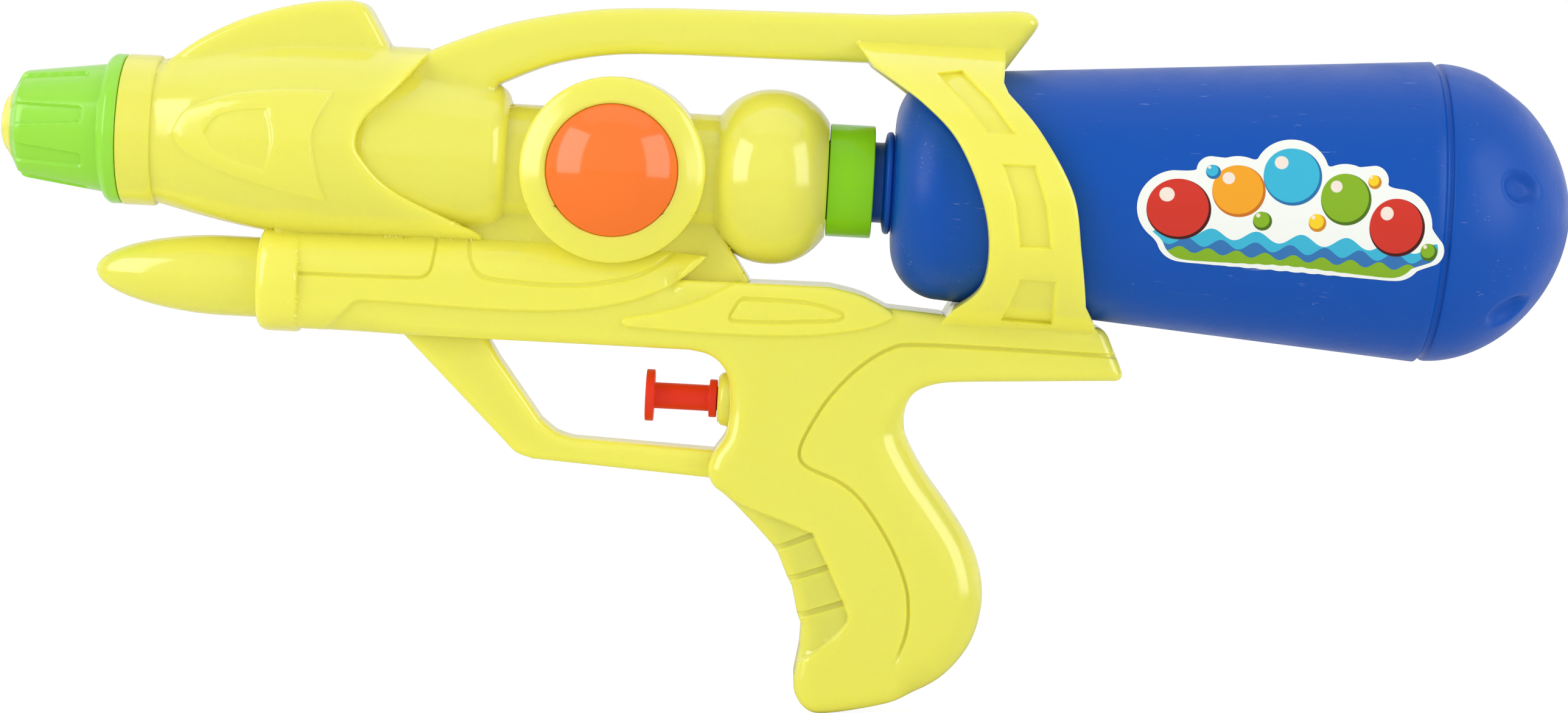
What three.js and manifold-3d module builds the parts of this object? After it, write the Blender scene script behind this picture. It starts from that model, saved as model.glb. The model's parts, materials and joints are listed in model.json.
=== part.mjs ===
// Toy water squirter with a push trigger and a screw-in tank.
// Millimetres. While it is drawn, x runs back from the nozzle tip, y across and z up,
// with z = 0 on the tank's axis. y = 0 is the plane where the two half shells meet.
import * as THREE from 'three';
import { mergeVertices } from 'three/addons/utils/BufferGeometryUtils.js';
import Module from 'manifold-3d';

const wasm = await Module();
wasm.setup();

// Walls and gaps
const SHELL_WALL = 2;
const TANK_WALL = 1.8;
const PARTING_GAP = 0.3;
const SEAT_GAP = 0.3;
const SLIDE_GAP = 0.2;
const BALL_GAP = 0.1;
const TANK_CLEARANCE = 1.2;
const RIB = 1.6;
const OVERCUT = 1;
const BEYOND = 60;

// Facets
const ROUND = 20;
const SHELL_ROUND = 24;
const HOLLOW_ROUND = 10;
const SLIM_ROUND = 14;
const FINE_ROUND = 8;
const BAND_ROUND = 28;
const HOSE_ROUND = 6;
const HOSE_STEP = 9;
const BEND_STEPS = 10;
const BORE_ROUND = 4;
const WIRE_ROUND = 5;
const WIRE_STEPS = 8;
const ARC_STEPS = 5;
const CURVE_STEPS = 1;

// Barrel: front collar, swelling tube, raised skirt and the cone behind it
const BARREL_Z = 3.3;
const BARREL_FRONT_X = 32.3;
const BARREL_COLLAR_LENGTH = 8.7;
const BARREL_COLLAR_R = 19.1;
const BARREL_COLLAR_EDGE = 0.5;
const BARREL_STEP = 0.8;
const BARREL_FRONT_R = 18.5;
const BARREL_R = 24.6;
const BARREL_SWELL = 41;
const SKIRT_END_X = 126;
const CONE_Z = 1.2;
const CONE_FRONT_X = 86;
const CONE_LENGTH = 44;
const CONE_FRONT_R = 23.6;
const CONE_REAR_R = 18.2;
const CONE_EDGE = 3;
const SKIRT_STEP = 1;
const FIN_HALF = 9;
const FIN_EDGE = 2.4;

// Nozzle: spigot of the shells, stepped tip and fluted cap
const SPIGOT_R = 9.8;
const SPIGOT_LENGTH = 21;
const SPIGOT_ROOT = 4;
const SPIGOT_BEAD = 0.9;
const SPIGOT_BEAD_LENGTH = 1.4;
const TIP_REACH = 5.2;
const TIP_DISC_R = 9.1;
const TIP_DISC_EDGE = 0.6;
const TIP_STEP_R = 6.8;
const TIP_STEP = 0.9;
const TIP_FACE_R = 4.6;
const TIP_STEM_R = 6.4;
const TIP_STEM = 12;
const TIP_ROOT = 2;
const TIP_FLANGE_R = 8;
const TIP_FLANGE = 2;
const JET_R = 0.7;
const CAP_FRONT_R = 13.2;
const CAP_REAR_R = 16.3;
const CAP_WALL = 2;
const CAP_FLANGE_R = 19;
const CAP_FLANGE = 4.6;
const CAP_FLANGE_EDGE = 0.8;
const CAP_CHAMFER = 1.6;
const FLUTES = 8;
const FLUTE_LENGTH = 18.4;
const FLUTE_WIDTH = 5.4;
const FLUTE_DEPTH = 0.7;
const FLUTE_CUTTER = 6;
const FLUTE_TURN = 12.5;

// Tube, boss, domes and bulb on the tank's axis
const TUBE_R = 15;
const TUBE_FRONT_X = 106;
const BOSS_X = 157;
const BOSS_R = 23.3;
const BOSS_HALF = 21.6;
const BOSS_RIM_R = 17.4;
const BOSS_CONE = 3.2;
const DOME_R = 16.5;
const DOME_RISE = 6.8;
const DOME_RIM = 1;
const DOME_WALL = 1.6;
const DOME_SEAT = 1.9;
const DOME_LEDGE = 1.9;
const DOME_SPIGOT = 3;
const BULB_X = 197;
const BULB_R = 22.2;
const BULB_HALF_LENGTH = 17.6;
const BULB_POWER = 2.2;
const BULB_FRONT_X = 181.5;
const BULB_END_X = 211;

// Tank and the collar that it screws into
const COLLAR_R = 14.3;
const COLLAR_LENGTH = 11.4;
const COLLAR_EDGE = 0.4;
const COLLAR_FLOOR = 2;
const COLLAR_STEM_R = 10;
const COLLAR_STEM = 3;
const COLLAR_FLANGE_R = 12.6;
const COLLAR_FLANGE = 2;
const COLLAR_NIPPLE = 7;
const NECK_R = 10.2;
const NECK_WALL = 1.7;
const NECK_THREAD = 1.2;
const NECK_SHOWN = 2.7;
const NECK_BEAD_R = 13;
const NECK_BEAD = 2.6;
const NECK_BEAD_EDGE = 0.8;
const SEAL_THICK = 1.2;
const SEAL_WIDTH = 2.2;
const TANK_FRONT_R = 15.5;
const SHOULDER_R = 29;
const SHOULDER = 13;
const TANK_R = 38.2;
const TANK_ROUND_END = 36.2;
const SEAM_DEPTH = 1;
const SEAM_WIDTH = 3;
const TANK_END_X = 400;
const TANK_END_POWER = 1.9;
const TANK_END_ROUNDING = 0.55;
const DIMPLES = 5;
const DIMPLE_R = 9;
const DIMPLE_DEPTH = 1.1;
const DIMPLE_FROM_END = 11.5;
const DIMPLE_TURN = 16;
const DIMPLE_LEAN = 45;

// Handle, rail, grip, guard and hoop
const HANDLE_HALF = 9;
const HANDLE_EDGE = 3;
const BODY_HALF = 13;
const BODY_EDGE = 4.4;
const WEB_HALF = 6.6;
const WEB_EDGE = 1;
const GUARD_HALF = 6.5;
const GUARD_EDGE = 2;
const HOOP_WALL = 3;
const HOOP_REAR_X = 283.6;
const WINDOW_DEPTH = 0.9;
const PANEL_DEPTH = 0.7;
const ROCKET_X = 26.2;
const ROCKET_Z = -32.6;
const ROCKET_R = 10.2;
const ROCKET_NOSE = 32;
const ROCKET_POINT = 1.75;
const CLAMP_X = 68.5;
const CLAMP_LENGTH = 10.4;
const CLAMP_R = 13.3;
const CLAMP_EDGE = 1.8;
const ROCKET_TAIL = 4;

// Trigger and pump
const PUMP_Z = -57.3;
const SLEEVE_X = 186.2;
const PUMP_R = 7.15;
const PUMP_BORE_R = 5.5;
const PUMP_LENGTH = 26;
const PUMP_NOSE = 3;
const PUMP_NOSE_STEP = 1.4;
const LIP = 1.8;
const LIP_R = 5.05;
const PAD_R = 6.6;
const PAD = 2.2;
const PAD_EDGE = 0.6;
const SHAFT_R = 2.95;
const SHAFT_LENGTH = 14;
const GUIDE_R = 4.85;
const GUIDE = 2;
const PISTON_LAND = 1.4;
const PISTON_GROOVE = 2.4;
const PISTON_GROOVE_R = 3.4;
const PISTON_STUB = 2.5;
const PISTON_STUB_R = 2.4;
const WIRE_R = 0.35;
const COIL_R = 4;
const COILS = 3;
const HEAD_LENGTH = 10.8;
const HEAD_HALF = 6.5;
const HEAD_TOP = 7.4;
const HEAD_BOTTOM = 7.6;
const HEAD_SPIGOT = 3;
const VALVE_SPACING = 5;
const CHAMBER_R = 2.05;
const CHAMBER_DEPTH = 6;
const BALL_R = 1.6;
const BALL_LIFT = 1.2;
const PORT_R = 1;

// Hoses
const HOSE_R = 2.5;
const HOSE_BORE_R = 1.55;
const NIPPLE_R = 1.25;
const NIPPLE_BORE_R = 0.7;
const NIPPLE = 6;
const ELBOW_BEND = 3;
const ELBOW_FLANGE = 1;
const ELBOW_LIP = 0.3;
const OUTLET_Z = -44;
const INLET_Z = -33;

// Screws, put in from the right side
const SCREW_R = 1.2;
const SCREW_HEAD_R = 2.7;
const SCREW_HEAD = 1.9;
const SCREW_BITE = 6.5;
const SCREW_SINK = 1.6;
const SCREW_CROWN = 0.6;
const POST_R = 3.6;
const SCREWS = [
  { x: 83, z: 31, half: FIN_HALF },
  { x: 168, z: 35.6, half: HANDLE_HALF },
  { x: 247, z: 39, half: HANDLE_HALF },
  { x: 92, z: -33.5, half: BODY_HALF },
  { x: 268, z: -41.3, half: BODY_HALF },
  { x: 226, z: -80, half: BODY_HALF },
  { x: 232, z: -118, half: BODY_HALF },
];

// Ribs inside: across the barrel, below the boss and either side of the pump
const BARREL_RIBS_X = [58, 86];
const BARREL_RIB_HALF = 8;
const RAIL_RIB_X = 160;
const RAIL_RIB_Z = [-44, -33];
const PUMP_RIBS = [9.8, 19.8];
const PUMP_RIB_Z = [-69.3, -30];

// Where a hand holds it, which is the part's origin
const HAND_X = 224;
const HAND_Z = -92;

// Stations worked out from the sizes above
const SPIGOT_X = BARREL_FRONT_X - SPIGOT_LENGTH;
const CAP_REAR_X = BARREL_FRONT_X - SEAT_GAP;
const SKIRT_X = BARREL_FRONT_X + BARREL_COLLAR_LENGTH;
const COLLAR_X = BULB_END_X + SEAT_GAP;
const COLLAR_END_X = COLLAR_X + COLLAR_LENGTH;
const NECK_BEAD_X = COLLAR_END_X + NECK_SHOWN + NECK_BEAD / 2;
const TANK_FRONT_X = NECK_BEAD_X + NECK_BEAD / 2;
const SOCKET_R = NECK_R + SLIDE_GAP + NECK_THREAD;
const SOCKET_X = COLLAR_X + COLLAR_FLOOR;
const MOUTH_X = SOCKET_X + SEAL_THICK + 2 * SEAT_GAP;
const SEAM_X = TANK_END_X - TANK_ROUND_END;
const DIMPLE_X = TANK_END_X - DIMPLE_FROM_END;
const PUMP_END_X = SLEEVE_X + PUMP_LENGTH;
const HEAD_X = PUMP_END_X + SEAT_GAP;
const OUTLET_X = HEAD_X + HEAD_LENGTH / 2 - VALVE_SPACING / 2;
const INLET_X = OUTLET_X + VALVE_SPACING;
const HEAD_ROOF_Z = PUMP_Z + HEAD_TOP;
const VALVE_SEAT_Z = HEAD_ROOF_Z - CHAMBER_DEPTH;
const BALL_Z = VALVE_SEAT_Z + Math.sqrt(BALL_R ** 2 - PORT_R ** 2) + BALL_GAP;
const GUIDE_X = SLEEVE_X - SLIDE_GAP - GUIDE;
const PAD_X = GUIDE_X - SHAFT_LENGTH - PAD;
const PISTON_X = SLEEVE_X + LIP + SLIDE_GAP;

// A closed geometry as a solid: shared corners merged, empty facets dropped, faces turned outwards.
function solid(geometry) {
  geometry.deleteAttribute('normal');
  geometry.deleteAttribute('uv');
  const merged = mergeVertices(geometry, 1e-4);
  const corner = merged.attributes.position;
  const index = merged.index.array;
  const facets = [];
  let volume = 0;
  for (let i = 0; i < index.length; i += 3) {
    const [a, b, c] = index.slice(i, i + 3);
    if (a === b || b === c || c === a) continue;
    facets.push([a, b, c]);
    const [p, q, r] = [a, b, c].map((k) => new THREE.Vector3().fromBufferAttribute(corner, k));
    volume += p.dot(q.cross(r));
  }
  const outward = volume < 0 ? facets.map(([a, b, c]) => [a, c, b]) : facets;
  return new wasm.Manifold(new wasm.Mesh({
    numProp: 3,
    vertProperties: Float32Array.from(corner.array),
    triVerts: Uint32Array.from(outward.flat()),
  }));
}

function joined(solids) {
  return solids.reduce((sum, next) => sum.add(next));
}

// A profile of [along, radius] points turned about the x, y or z direction through a point.
function turned(profile, { along = 'x', at = [0, 0, 0], sides = ROUND } = {}) {
  const geometry = new THREE.LatheGeometry(profile.map(([s, r]) => new THREE.Vector2(r, s)), sides);
  if (along === 'x') geometry.rotateZ(-Math.PI / 2);
  if (along === 'z') geometry.rotateX(Math.PI / 2);
  geometry.translate(...at);
  return solid(geometry);
}

function rod(from, to, radius, options) {
  return turned([[from, 0], [from, radius], [to, radius], [to, 0]], options);
}

function ring(from, to, inner, outer, options) {
  return turned([[from, inner], [from, outer], [to, outer], [to, inner], [from, inner]], options);
}

// A profile moved out along its normals; ends that lie on the axis stay on it.
function offset(profile, distance) {
  const normals = profile.slice(1).map(([s, r], i) => {
    const along = s - profile[i][0];
    const out = r - profile[i][1];
    const length = Math.hypot(along, out);
    return [-out / length, along / length];
  });
  return profile.map(([s, r], i) => {
    const before = normals[Math.max(i - 1, 0)];
    const after = normals[Math.min(i, normals.length - 1)];
    const mitre = distance / (1 + before[0] * after[0] + before[1] * after[1]);
    const moved = r + mitre * (before[1] + after[1]);
    return [s + mitre * (before[0] + after[0]), r === 0 ? 0 : Math.max(moved, 0)];
  });
}

// A curve of [x, z] points worked out from a formula of t, from 0 to 1.
function traced(steps, formula) {
  return Array.from({ length: steps + 1 }, (_, i) => formula(i / steps));
}

// A closed side-view outline: a stretch of one point is a straight run, a longer one a smooth curve.
function outline(...stretches) {
  const shape = new THREE.Shape();
  stretches.forEach((stretch, i) => {
    const [start, ...rest] = stretch.map(([x, z]) => new THREE.Vector2(x, z));
    if (i === 0) shape.moveTo(start.x, start.y);
    else shape.lineTo(start.x, start.y);
    if (rest.length > 0) shape.splineThru(rest);
  });
  shape.closePath();
  return shape;
}

// A side-view outline as a slab across the gun, with rounded edges, drawn in on all sides by inset.
function slab(shape, half, edge, inset = 0) {
  const rounding = Math.max(edge - inset, 0.4);
  const flat = half - inset - rounding;
  const geometry = new THREE.ExtrudeGeometry(shape, {
    depth: 2 * flat,
    bevelThickness: rounding,
    bevelSize: rounding,
    bevelOffset: -rounding - inset,
    bevelSegments: inset === 0 && edge > 4 ? 2 : 1,
    curveSegments: CURVE_STEPS,
  });
  geometry.translate(0, 0, -flat);
  geometry.rotateX(Math.PI / 2);
  return solid(geometry);
}

function box(low, high) {
  const size = high.map((value, i) => value - low[i]);
  const geometry = new THREE.BoxGeometry(...size);
  geometry.translate(...low.map((value, i) => value + size[i] / 2));
  return solid(geometry);
}

// A round tube along a path, with a bore where an inner radius is given.
function tube(path, radius, bore, steps, sides = HOSE_ROUND) {
  const circle = (r) => traced(sides - 1, (t) => {
    const turn = t * (sides - 1) / sides * 2 * Math.PI;
    return new THREE.Vector2(r * Math.cos(turn), r * Math.sin(turn));
  });
  const section = new THREE.Shape(circle(radius));
  if (bore > 0) section.holes.push(new THREE.Path(circle(bore)));
  return solid(new THREE.ExtrudeGeometry(section, { extrudePath: path, steps }));
}

function sidePath(points) {
  return new THREE.CatmullRomCurve3(points.map(([x, z]) => new THREE.Vector3(x, 0, z)), false, 'centripetal');
}

// Barrel
const barrelProfile = [
  [BARREL_FRONT_X, 0],
  [BARREL_FRONT_X, BARREL_COLLAR_R - BARREL_COLLAR_EDGE],
  [BARREL_FRONT_X + BARREL_COLLAR_EDGE, BARREL_COLLAR_R],
  [SKIRT_X - BARREL_STEP, BARREL_COLLAR_R],
  ...traced(ARC_STEPS, (t) => [
    SKIRT_X + t * BARREL_SWELL,
    BARREL_FRONT_R + (BARREL_R - BARREL_FRONT_R) * Math.sin(t * Math.PI / 2),
  ]),
  [SKIRT_END_X, BARREL_R],
  [SKIRT_END_X, 0],
];
const coneProfile = [
  [CONE_FRONT_X, 0],
  [CONE_FRONT_X, CONE_FRONT_R],
  [CONE_FRONT_X + CONE_LENGTH - CONE_EDGE, CONE_REAR_R],
  [CONE_FRONT_X + CONE_LENGTH - CONE_EDGE / 3, CONE_REAR_R - CONE_EDGE / 3],
  [CONE_FRONT_X + CONE_LENGTH, CONE_REAR_R - CONE_EDGE],
  [CONE_FRONT_X + CONE_LENGTH, 0],
];
// The skirt's raised rear edge is a V that lies on its side, with its tip towards the nozzle.
const skirtOutline = outline(
  [[0, BEYOND]],
  [[0, -BEYOND]],
  [[SKIRT_END_X, -BEYOND]],
  [[125, -21], [117, -15.4], [102, -7.8], [94.6, -0.4], [93, 4.2], [95.2, 10], [102, 17.4], [109, 26.5]],
  [[109, BEYOND]],
);
const finOutline = outline(
  [[40, 8]],
  [[40, 18.5], [50, 26.5], [60, 32.1], [70, 35.8], [80, 38.1], [88.6, 38.9]],
  [[91.6, 38.2]],
  [[93.4, 36.4]],
  [[99.6, 26]],
  [[99.6, 8]],
);

// Carry handle
const handleOutline = outline(
  [[106, 12]],
  [[106, 25.8], [115, 30], [130, 35.6], [150, 39.8], [170, 41.3]],
  [[225, 42.6], [240, 43.9], [256, 45.2]],
  [[263.6, 44]],
  [[254.6, 30.4]],
  [[219, 30.2]],
  [[172, 29.7], [155, 28.8], [140, 25.6], [127, 20]],
  [[122, 12]],
);

// Rail and grip, one form
const bodyOutline = outline(
  [[77, -20.4]],
  [[124, -19.4]],
  [[172, -23]],
  [[178, -27]],
  [[213, -26.6], [221, -28.2], [228, -31.2]],
  [[243, -32.2]],
  [[283.4, -33.4]],
  [[289.2, -46.4]],
  [[250, -48.9], [242.5, -49.7], [237, -51.8], [234.5, -55], [233.8, -60], [235.2, -65], [240, -73],
    [247, -82], [253, -91], [256, -100], [256.2, -108], [253.5, -117], [247, -125.2], [238, -130.4],
    [228, -133.5], [217, -135.5]],
  [[211.6, -133.4]],
  [[209.3, -129.4]],
  [[209.3, -125]],
  [[210.4, -113]],
  [[203, -95], [197, -88], [190, -81.5], [186.2, -78.6], [184.7, -74.5], [186, -70.3], [188.6, -66],
    [189.4, -60], [189, -53], [187.2, -48.4], [183.5, -45.6], [178.5, -44.6]],
  [[79, -44.7]],
);
const guardOutline = outline(
  [[101.6, -41]],
  [[132.5, -70.6], [135.6, -73.4], [140, -74.8]],
  [[192, -77.6]],
  [[192, -70.3]],
  [[150, -68.9], [145.6, -67.6], [141.5, -64.6]],
  [[130, -49.5]],
  [[124.6, -41]],
);
const webOutline = outline([[122, -6]], [[180, -8]], [[194.6, -29]], [[194.6, -38]], [[122, -38]]);

// Hoop: the stretch of a round band that this side view keeps
const hoopOutline = outline(
  [[214, 38]],
  [[221, 29.2], [233.9, 20.5], [243.4, 10.4], [250.6, -7], [251, -22.7], [244.1, -30.5]],
  [[239, -38]],
  [[283.6, -38]],
  [[277.1, -27.8], [274.4, -13.8], [271.3, 0.8], [262.8, 15.2], [254.6, 24.4]],
  [[253.4, 27]],
  [[254.6, 38]],
);

// Recessed windows of the hoop and the finger panel of the grip
const windowOutlines = [
  outline([[237.9, 28.3]], [[243.2, 29.3]], [[256.3, 14.5]], [[249.5, 14.5]]),
  outline([[253.7, 6.8]], [[261.7, 6.8]], [[267, -13.2]], [[259.3, -13.2]]),
  outline([[260.1, -21.5]], [[268.8, -21.5]], [[269.3, -32]], [[256.6, -32]]),
];
const panelOutline = outline(
  [[194, -85.4]],
  [[212, -90.5], [217, -100], [222, -111]],
  [[222.2, -114]],
  [[211, -123.4]],
  [[200, -123.4]],
);

const rocketProfile = [
  ...traced(ARC_STEPS, (t) => [
    ROCKET_X + ROCKET_NOSE * t ** 2,
    ROCKET_R * Math.sqrt(1 - (1 - t ** 2) ** ROCKET_POINT),
  ]),
  [CLAMP_X + CLAMP_LENGTH + ROCKET_TAIL, ROCKET_R],
  [CLAMP_X + CLAMP_LENGTH + ROCKET_TAIL, 0],
];
const clampProfile = [
  [CLAMP_X, 0],
  [CLAMP_X, CLAMP_R - CLAMP_EDGE],
  [CLAMP_X + CLAMP_EDGE, CLAMP_R],
  [CLAMP_X + CLAMP_LENGTH - CLAMP_EDGE / 2, CLAMP_R],
  [CLAMP_X + CLAMP_LENGTH, CLAMP_R - CLAMP_EDGE / 2],
  [CLAMP_X + CLAMP_LENGTH, 0],
];
const bulbReach = (x) => {
  const share = Math.abs(x - BULB_X) / BULB_HALF_LENGTH;
  return BULB_R * (1 - share ** BULB_POWER) ** (1 / BULB_POWER);
};
const bulbProfile = [
  [BULB_FRONT_X, 0],
  ...traced(6, (t) => {
    const x = BULB_FRONT_X + (BULB_END_X - BULB_FRONT_X) * (1 - Math.cos(t * Math.PI)) / 2;
    return [x, bulbReach(x)];
  }),
  [BULB_END_X, 0],
];

// Boss: a drum across the gun with a coned rim, a seat for the dome and a hole for its spigot
const domeSeat = BOSS_HALF - DOME_SEAT;
const domeHole = DOME_R - DOME_LEDGE;
const bossDrum = turned([
  [-BOSS_HALF, 0],
  [-BOSS_HALF, BOSS_RIM_R],
  [-BOSS_HALF + BOSS_CONE, BOSS_R],
  [BOSS_HALF - BOSS_CONE, BOSS_R],
  [BOSS_HALF, BOSS_RIM_R],
  [BOSS_HALF, 0],
], { along: 'y', at: [BOSS_X, 0, 0], sides: SHELL_ROUND });
const bossHollow = rod(SHELL_WALL - domeSeat, domeSeat - SHELL_WALL, BOSS_R - SHELL_WALL, {
  along: 'y',
  at: [BOSS_X, 0, 0],
  sides: HOLLOW_ROUND,
});
const domePocket = joined([
  rod(domeSeat, BOSS_HALF + OVERCUT, DOME_R + SEAT_GAP, { along: 'y', at: [BOSS_X, 0, 0] }),
  rod(domeSeat - SHELL_WALL - OVERCUT, domeSeat + OVERCUT, domeHole, { along: 'y', at: [BOSS_X, 0, 0] }),
]);
const domeSphere = (DOME_R ** 2 + DOME_RISE ** 2) / (2 * DOME_RISE);
const domeBase = domeSeat + SEAT_GAP;
const domeTop = domeBase + DOME_RISE + DOME_RIM;
const capArc = (radius, reach, steps) => traced(steps, (t) => {
  const lean = Math.asin(reach / radius) * (1 - t);
  return [domeTop - domeSphere + radius * Math.cos(lean), radius * Math.sin(lean)];
});
const domeSpigotR = domeHole - SEAT_GAP;
const dome = turned([
  [domeBase, DOME_R],
  ...capArc(domeSphere, DOME_R, 4),
  ...capArc(domeSphere - DOME_WALL, domeSpigotR - DOME_WALL, 2).reverse(),
  [domeSeat - SHELL_WALL - DOME_SPIGOT, domeSpigotR - DOME_WALL],
  [domeSeat - SHELL_WALL - DOME_SPIGOT, domeSpigotR],
  [domeBase, domeSpigotR],
  [domeBase, DOME_R],
], { along: 'y', at: [BOSS_X, 0, 0] });

// Tank outside: neck, bead, shoulder, tapering wall, seam and round end
const domeStart = SEAM_X + SEAM_WIDTH / 2;
const tankEnd = TANK_END_X - domeStart;
const endReach = (run) => Math.max(1 - run ** TANK_END_POWER, 0) ** TANK_END_ROUNDING;
const tankOutside = [
  [MOUTH_X, NECK_R],
  [NECK_BEAD_X - NECK_BEAD / 2, NECK_R],
  [NECK_BEAD_X - NECK_BEAD / 4, NECK_BEAD_R],
  [NECK_BEAD_X + NECK_BEAD / 4, NECK_BEAD_R],
  [NECK_BEAD_X + NECK_BEAD / 2, NECK_BEAD_R - NECK_BEAD_EDGE],
  [TANK_FRONT_X, TANK_FRONT_R],
  ...traced(4, (t) => [
    TANK_FRONT_X + SHOULDER * (1 - Math.cos(t * Math.PI / 2)),
    TANK_FRONT_R + (SHOULDER_R - TANK_FRONT_R) * Math.sin(t * Math.PI / 2),
  ]).slice(1),
  [SEAM_X - SEAM_WIDTH / 2, TANK_R],
  [SEAM_X, TANK_R - SEAM_DEPTH],
  ...traced(7, (t) => {
    const run = Math.sin(t * Math.PI / 2);
    return [domeStart + tankEnd * run, TANK_R * endReach(run)];
  }),
];
const tankInside = [
  [MOUTH_X, NECK_R - NECK_WALL],
  [TANK_FRONT_X, NECK_R - NECK_WALL],
  [TANK_FRONT_X + TANK_WALL, TANK_FRONT_R],
  ...traced(3, (t) => [
    TANK_FRONT_X + TANK_WALL + (SHOULDER - TANK_WALL) * (1 - Math.cos(t * Math.PI / 2)),
    TANK_FRONT_R + (SHOULDER_R - TANK_WALL - TANK_FRONT_R) * Math.sin(t * Math.PI / 2),
  ]).slice(1),
  [SEAM_X, TANK_R - TANK_WALL - SEAM_DEPTH],
  ...traced(5, (t) => {
    const run = Math.sin(t * Math.PI / 2);
    const reach = TANK_R - TANK_WALL - SEAM_DEPTH;
    return [domeStart + (tankEnd - TANK_WALL - DIMPLE_DEPTH) * run, reach * endReach(run)];
  }),
];
const taperX = TANK_FRONT_X + SHOULDER;
const taper = (TANK_R - SHOULDER_R) / (SEAM_X - SEAM_WIDTH / 2 - taperX);
const tankReach = (x) => SHOULDER_R + taper * (x - taperX);
const dimpleRun = (DIMPLE_X - domeStart) / tankEnd;
const dimpleReach = TANK_R * endReach(dimpleRun);
function dimple(number) {
  const turn = THREE.MathUtils.degToRad(DIMPLE_TURN + number * 360 / DIMPLES);
  const lean = THREE.MathUtils.degToRad(DIMPLE_LEAN);
  const lift = DIMPLE_R - DIMPLE_DEPTH;
  const geometry = new THREE.SphereGeometry(DIMPLE_R, 10, 6);
  const reach = dimpleReach + lift * Math.sin(lean);
  geometry.translate(DIMPLE_X + lift * Math.cos(lean), -reach * Math.cos(turn), reach * Math.sin(turn));
  return solid(geometry);
}
const dimples = joined(Array.from({ length: DIMPLES }, (_, i) => dimple(i)));
const tank = turned([...tankOutside, ...tankInside.slice().reverse(), tankOutside[0]]).subtract(dimples);
const tankPassage = turned([
  [COLLAR_END_X + OVERCUT, 0],
  [COLLAR_END_X + OVERCUT, SHOULDER_R + TANK_CLEARANCE],
  [TANK_FRONT_X + SHOULDER, SHOULDER_R + TANK_CLEARANCE],
  [SEAM_X, TANK_R + TANK_CLEARANCE],
  [SEAM_X, 0],
], { sides: BAND_ROUND });

// Collar with its flange and nipples, and the washer in its socket
const collarStemX = COLLAR_X - COLLAR_STEM;
const collarFlangeX = collarStemX - COLLAR_FLANGE;
const tankCollar = turned([
  [collarFlangeX - COLLAR_NIPPLE, NIPPLE_BORE_R],
  [collarFlangeX - COLLAR_NIPPLE, NIPPLE_R],
  [collarFlangeX, NIPPLE_R],
  [collarFlangeX, COLLAR_FLANGE_R],
  [collarStemX, COLLAR_FLANGE_R],
  [collarStemX, COLLAR_STEM_R],
  [COLLAR_X, COLLAR_STEM_R],
  [COLLAR_X, COLLAR_R - COLLAR_EDGE],
  [COLLAR_X + COLLAR_EDGE, COLLAR_R],
  [COLLAR_END_X - COLLAR_EDGE, COLLAR_R],
  [COLLAR_END_X, COLLAR_R - COLLAR_EDGE],
  [COLLAR_END_X, SOCKET_R],
  [SOCKET_X, SOCKET_R],
  [SOCKET_X, NIPPLE_R],
  [SOCKET_X + COLLAR_NIPPLE, NIPPLE_R],
  [SOCKET_X + COLLAR_NIPPLE, NIPPLE_BORE_R],
  [collarFlangeX - COLLAR_NIPPLE, NIPPLE_BORE_R],
]);
const collarPassage = joined([
  rod(collarFlangeX - SEAT_GAP, collarStemX + SEAT_GAP, COLLAR_FLANGE_R + SEAT_GAP),
  rod(collarStemX, COLLAR_X + OVERCUT, COLLAR_STEM_R + SEAT_GAP),
]);
const sealX = SOCKET_X + SEAT_GAP;
const sealR = SOCKET_R - SEAT_GAP;
const tankSeal = ring(sealX, sealX + SEAL_THICK, sealR - SEAL_WIDTH, sealR);

// Nozzle tip and cap
const tipBack = SPIGOT_X + TIP_STEM;
const tipBarb = tipBack + TIP_ROOT + NIPPLE;
const tipProfile = [
  [0, JET_R],
  [0, TIP_FACE_R],
  [TIP_STEP, TIP_STEP_R],
  [2 * TIP_STEP, TIP_STEP_R],
  [TIP_REACH - 2 * TIP_DISC_EDGE, TIP_DISC_R - TIP_DISC_EDGE],
  [TIP_REACH - TIP_DISC_EDGE, TIP_DISC_R],
  [TIP_REACH + CAP_WALL, TIP_DISC_R],
  [TIP_REACH + CAP_WALL, TIP_STEM_R],
  [tipBack - TIP_FLANGE, TIP_STEM_R],
  [tipBack - TIP_FLANGE, TIP_FLANGE_R],
  [tipBack, TIP_FLANGE_R],
  [tipBack, NIPPLE_R],
  [tipBarb, NIPPLE_R],
  [tipBarb, JET_R],
  [0, JET_R],
];
const onBarrel = { at: [0, 0, BARREL_Z], sides: SLIM_ROUND };
const nozzleTip = turned(tipProfile, onBarrel);
const tipPassage = joined([
  rod(SPIGOT_X - OVERCUT, tipBack + OVERCUT, TIP_STEM_R + SEAT_GAP, onBarrel),
  rod(tipBack - TIP_FLANGE - SEAT_GAP, tipBack + SEAT_GAP, TIP_FLANGE_R + SEAT_GAP, onBarrel),
  rod(tipBack, BARREL_FRONT_X + SPIGOT_ROOT + OVERCUT, HOSE_R + SEAT_GAP, { ...onBarrel, sides: FINE_ROUND }),
]);
const spigot = joined([
  rod(SPIGOT_X, BARREL_FRONT_X + SPIGOT_ROOT, SPIGOT_R, onBarrel),
  rod(SPIGOT_X, SPIGOT_X + SPIGOT_BEAD_LENGTH, SPIGOT_R + SPIGOT_BEAD, onBarrel),
]);
const capLipX = SPIGOT_X + SPIGOT_BEAD_LENGTH + SEAT_GAP;
const capFlangeX = CAP_REAR_X - CAP_FLANGE;
const capBoreR = SPIGOT_R + SLIDE_GAP;
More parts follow.
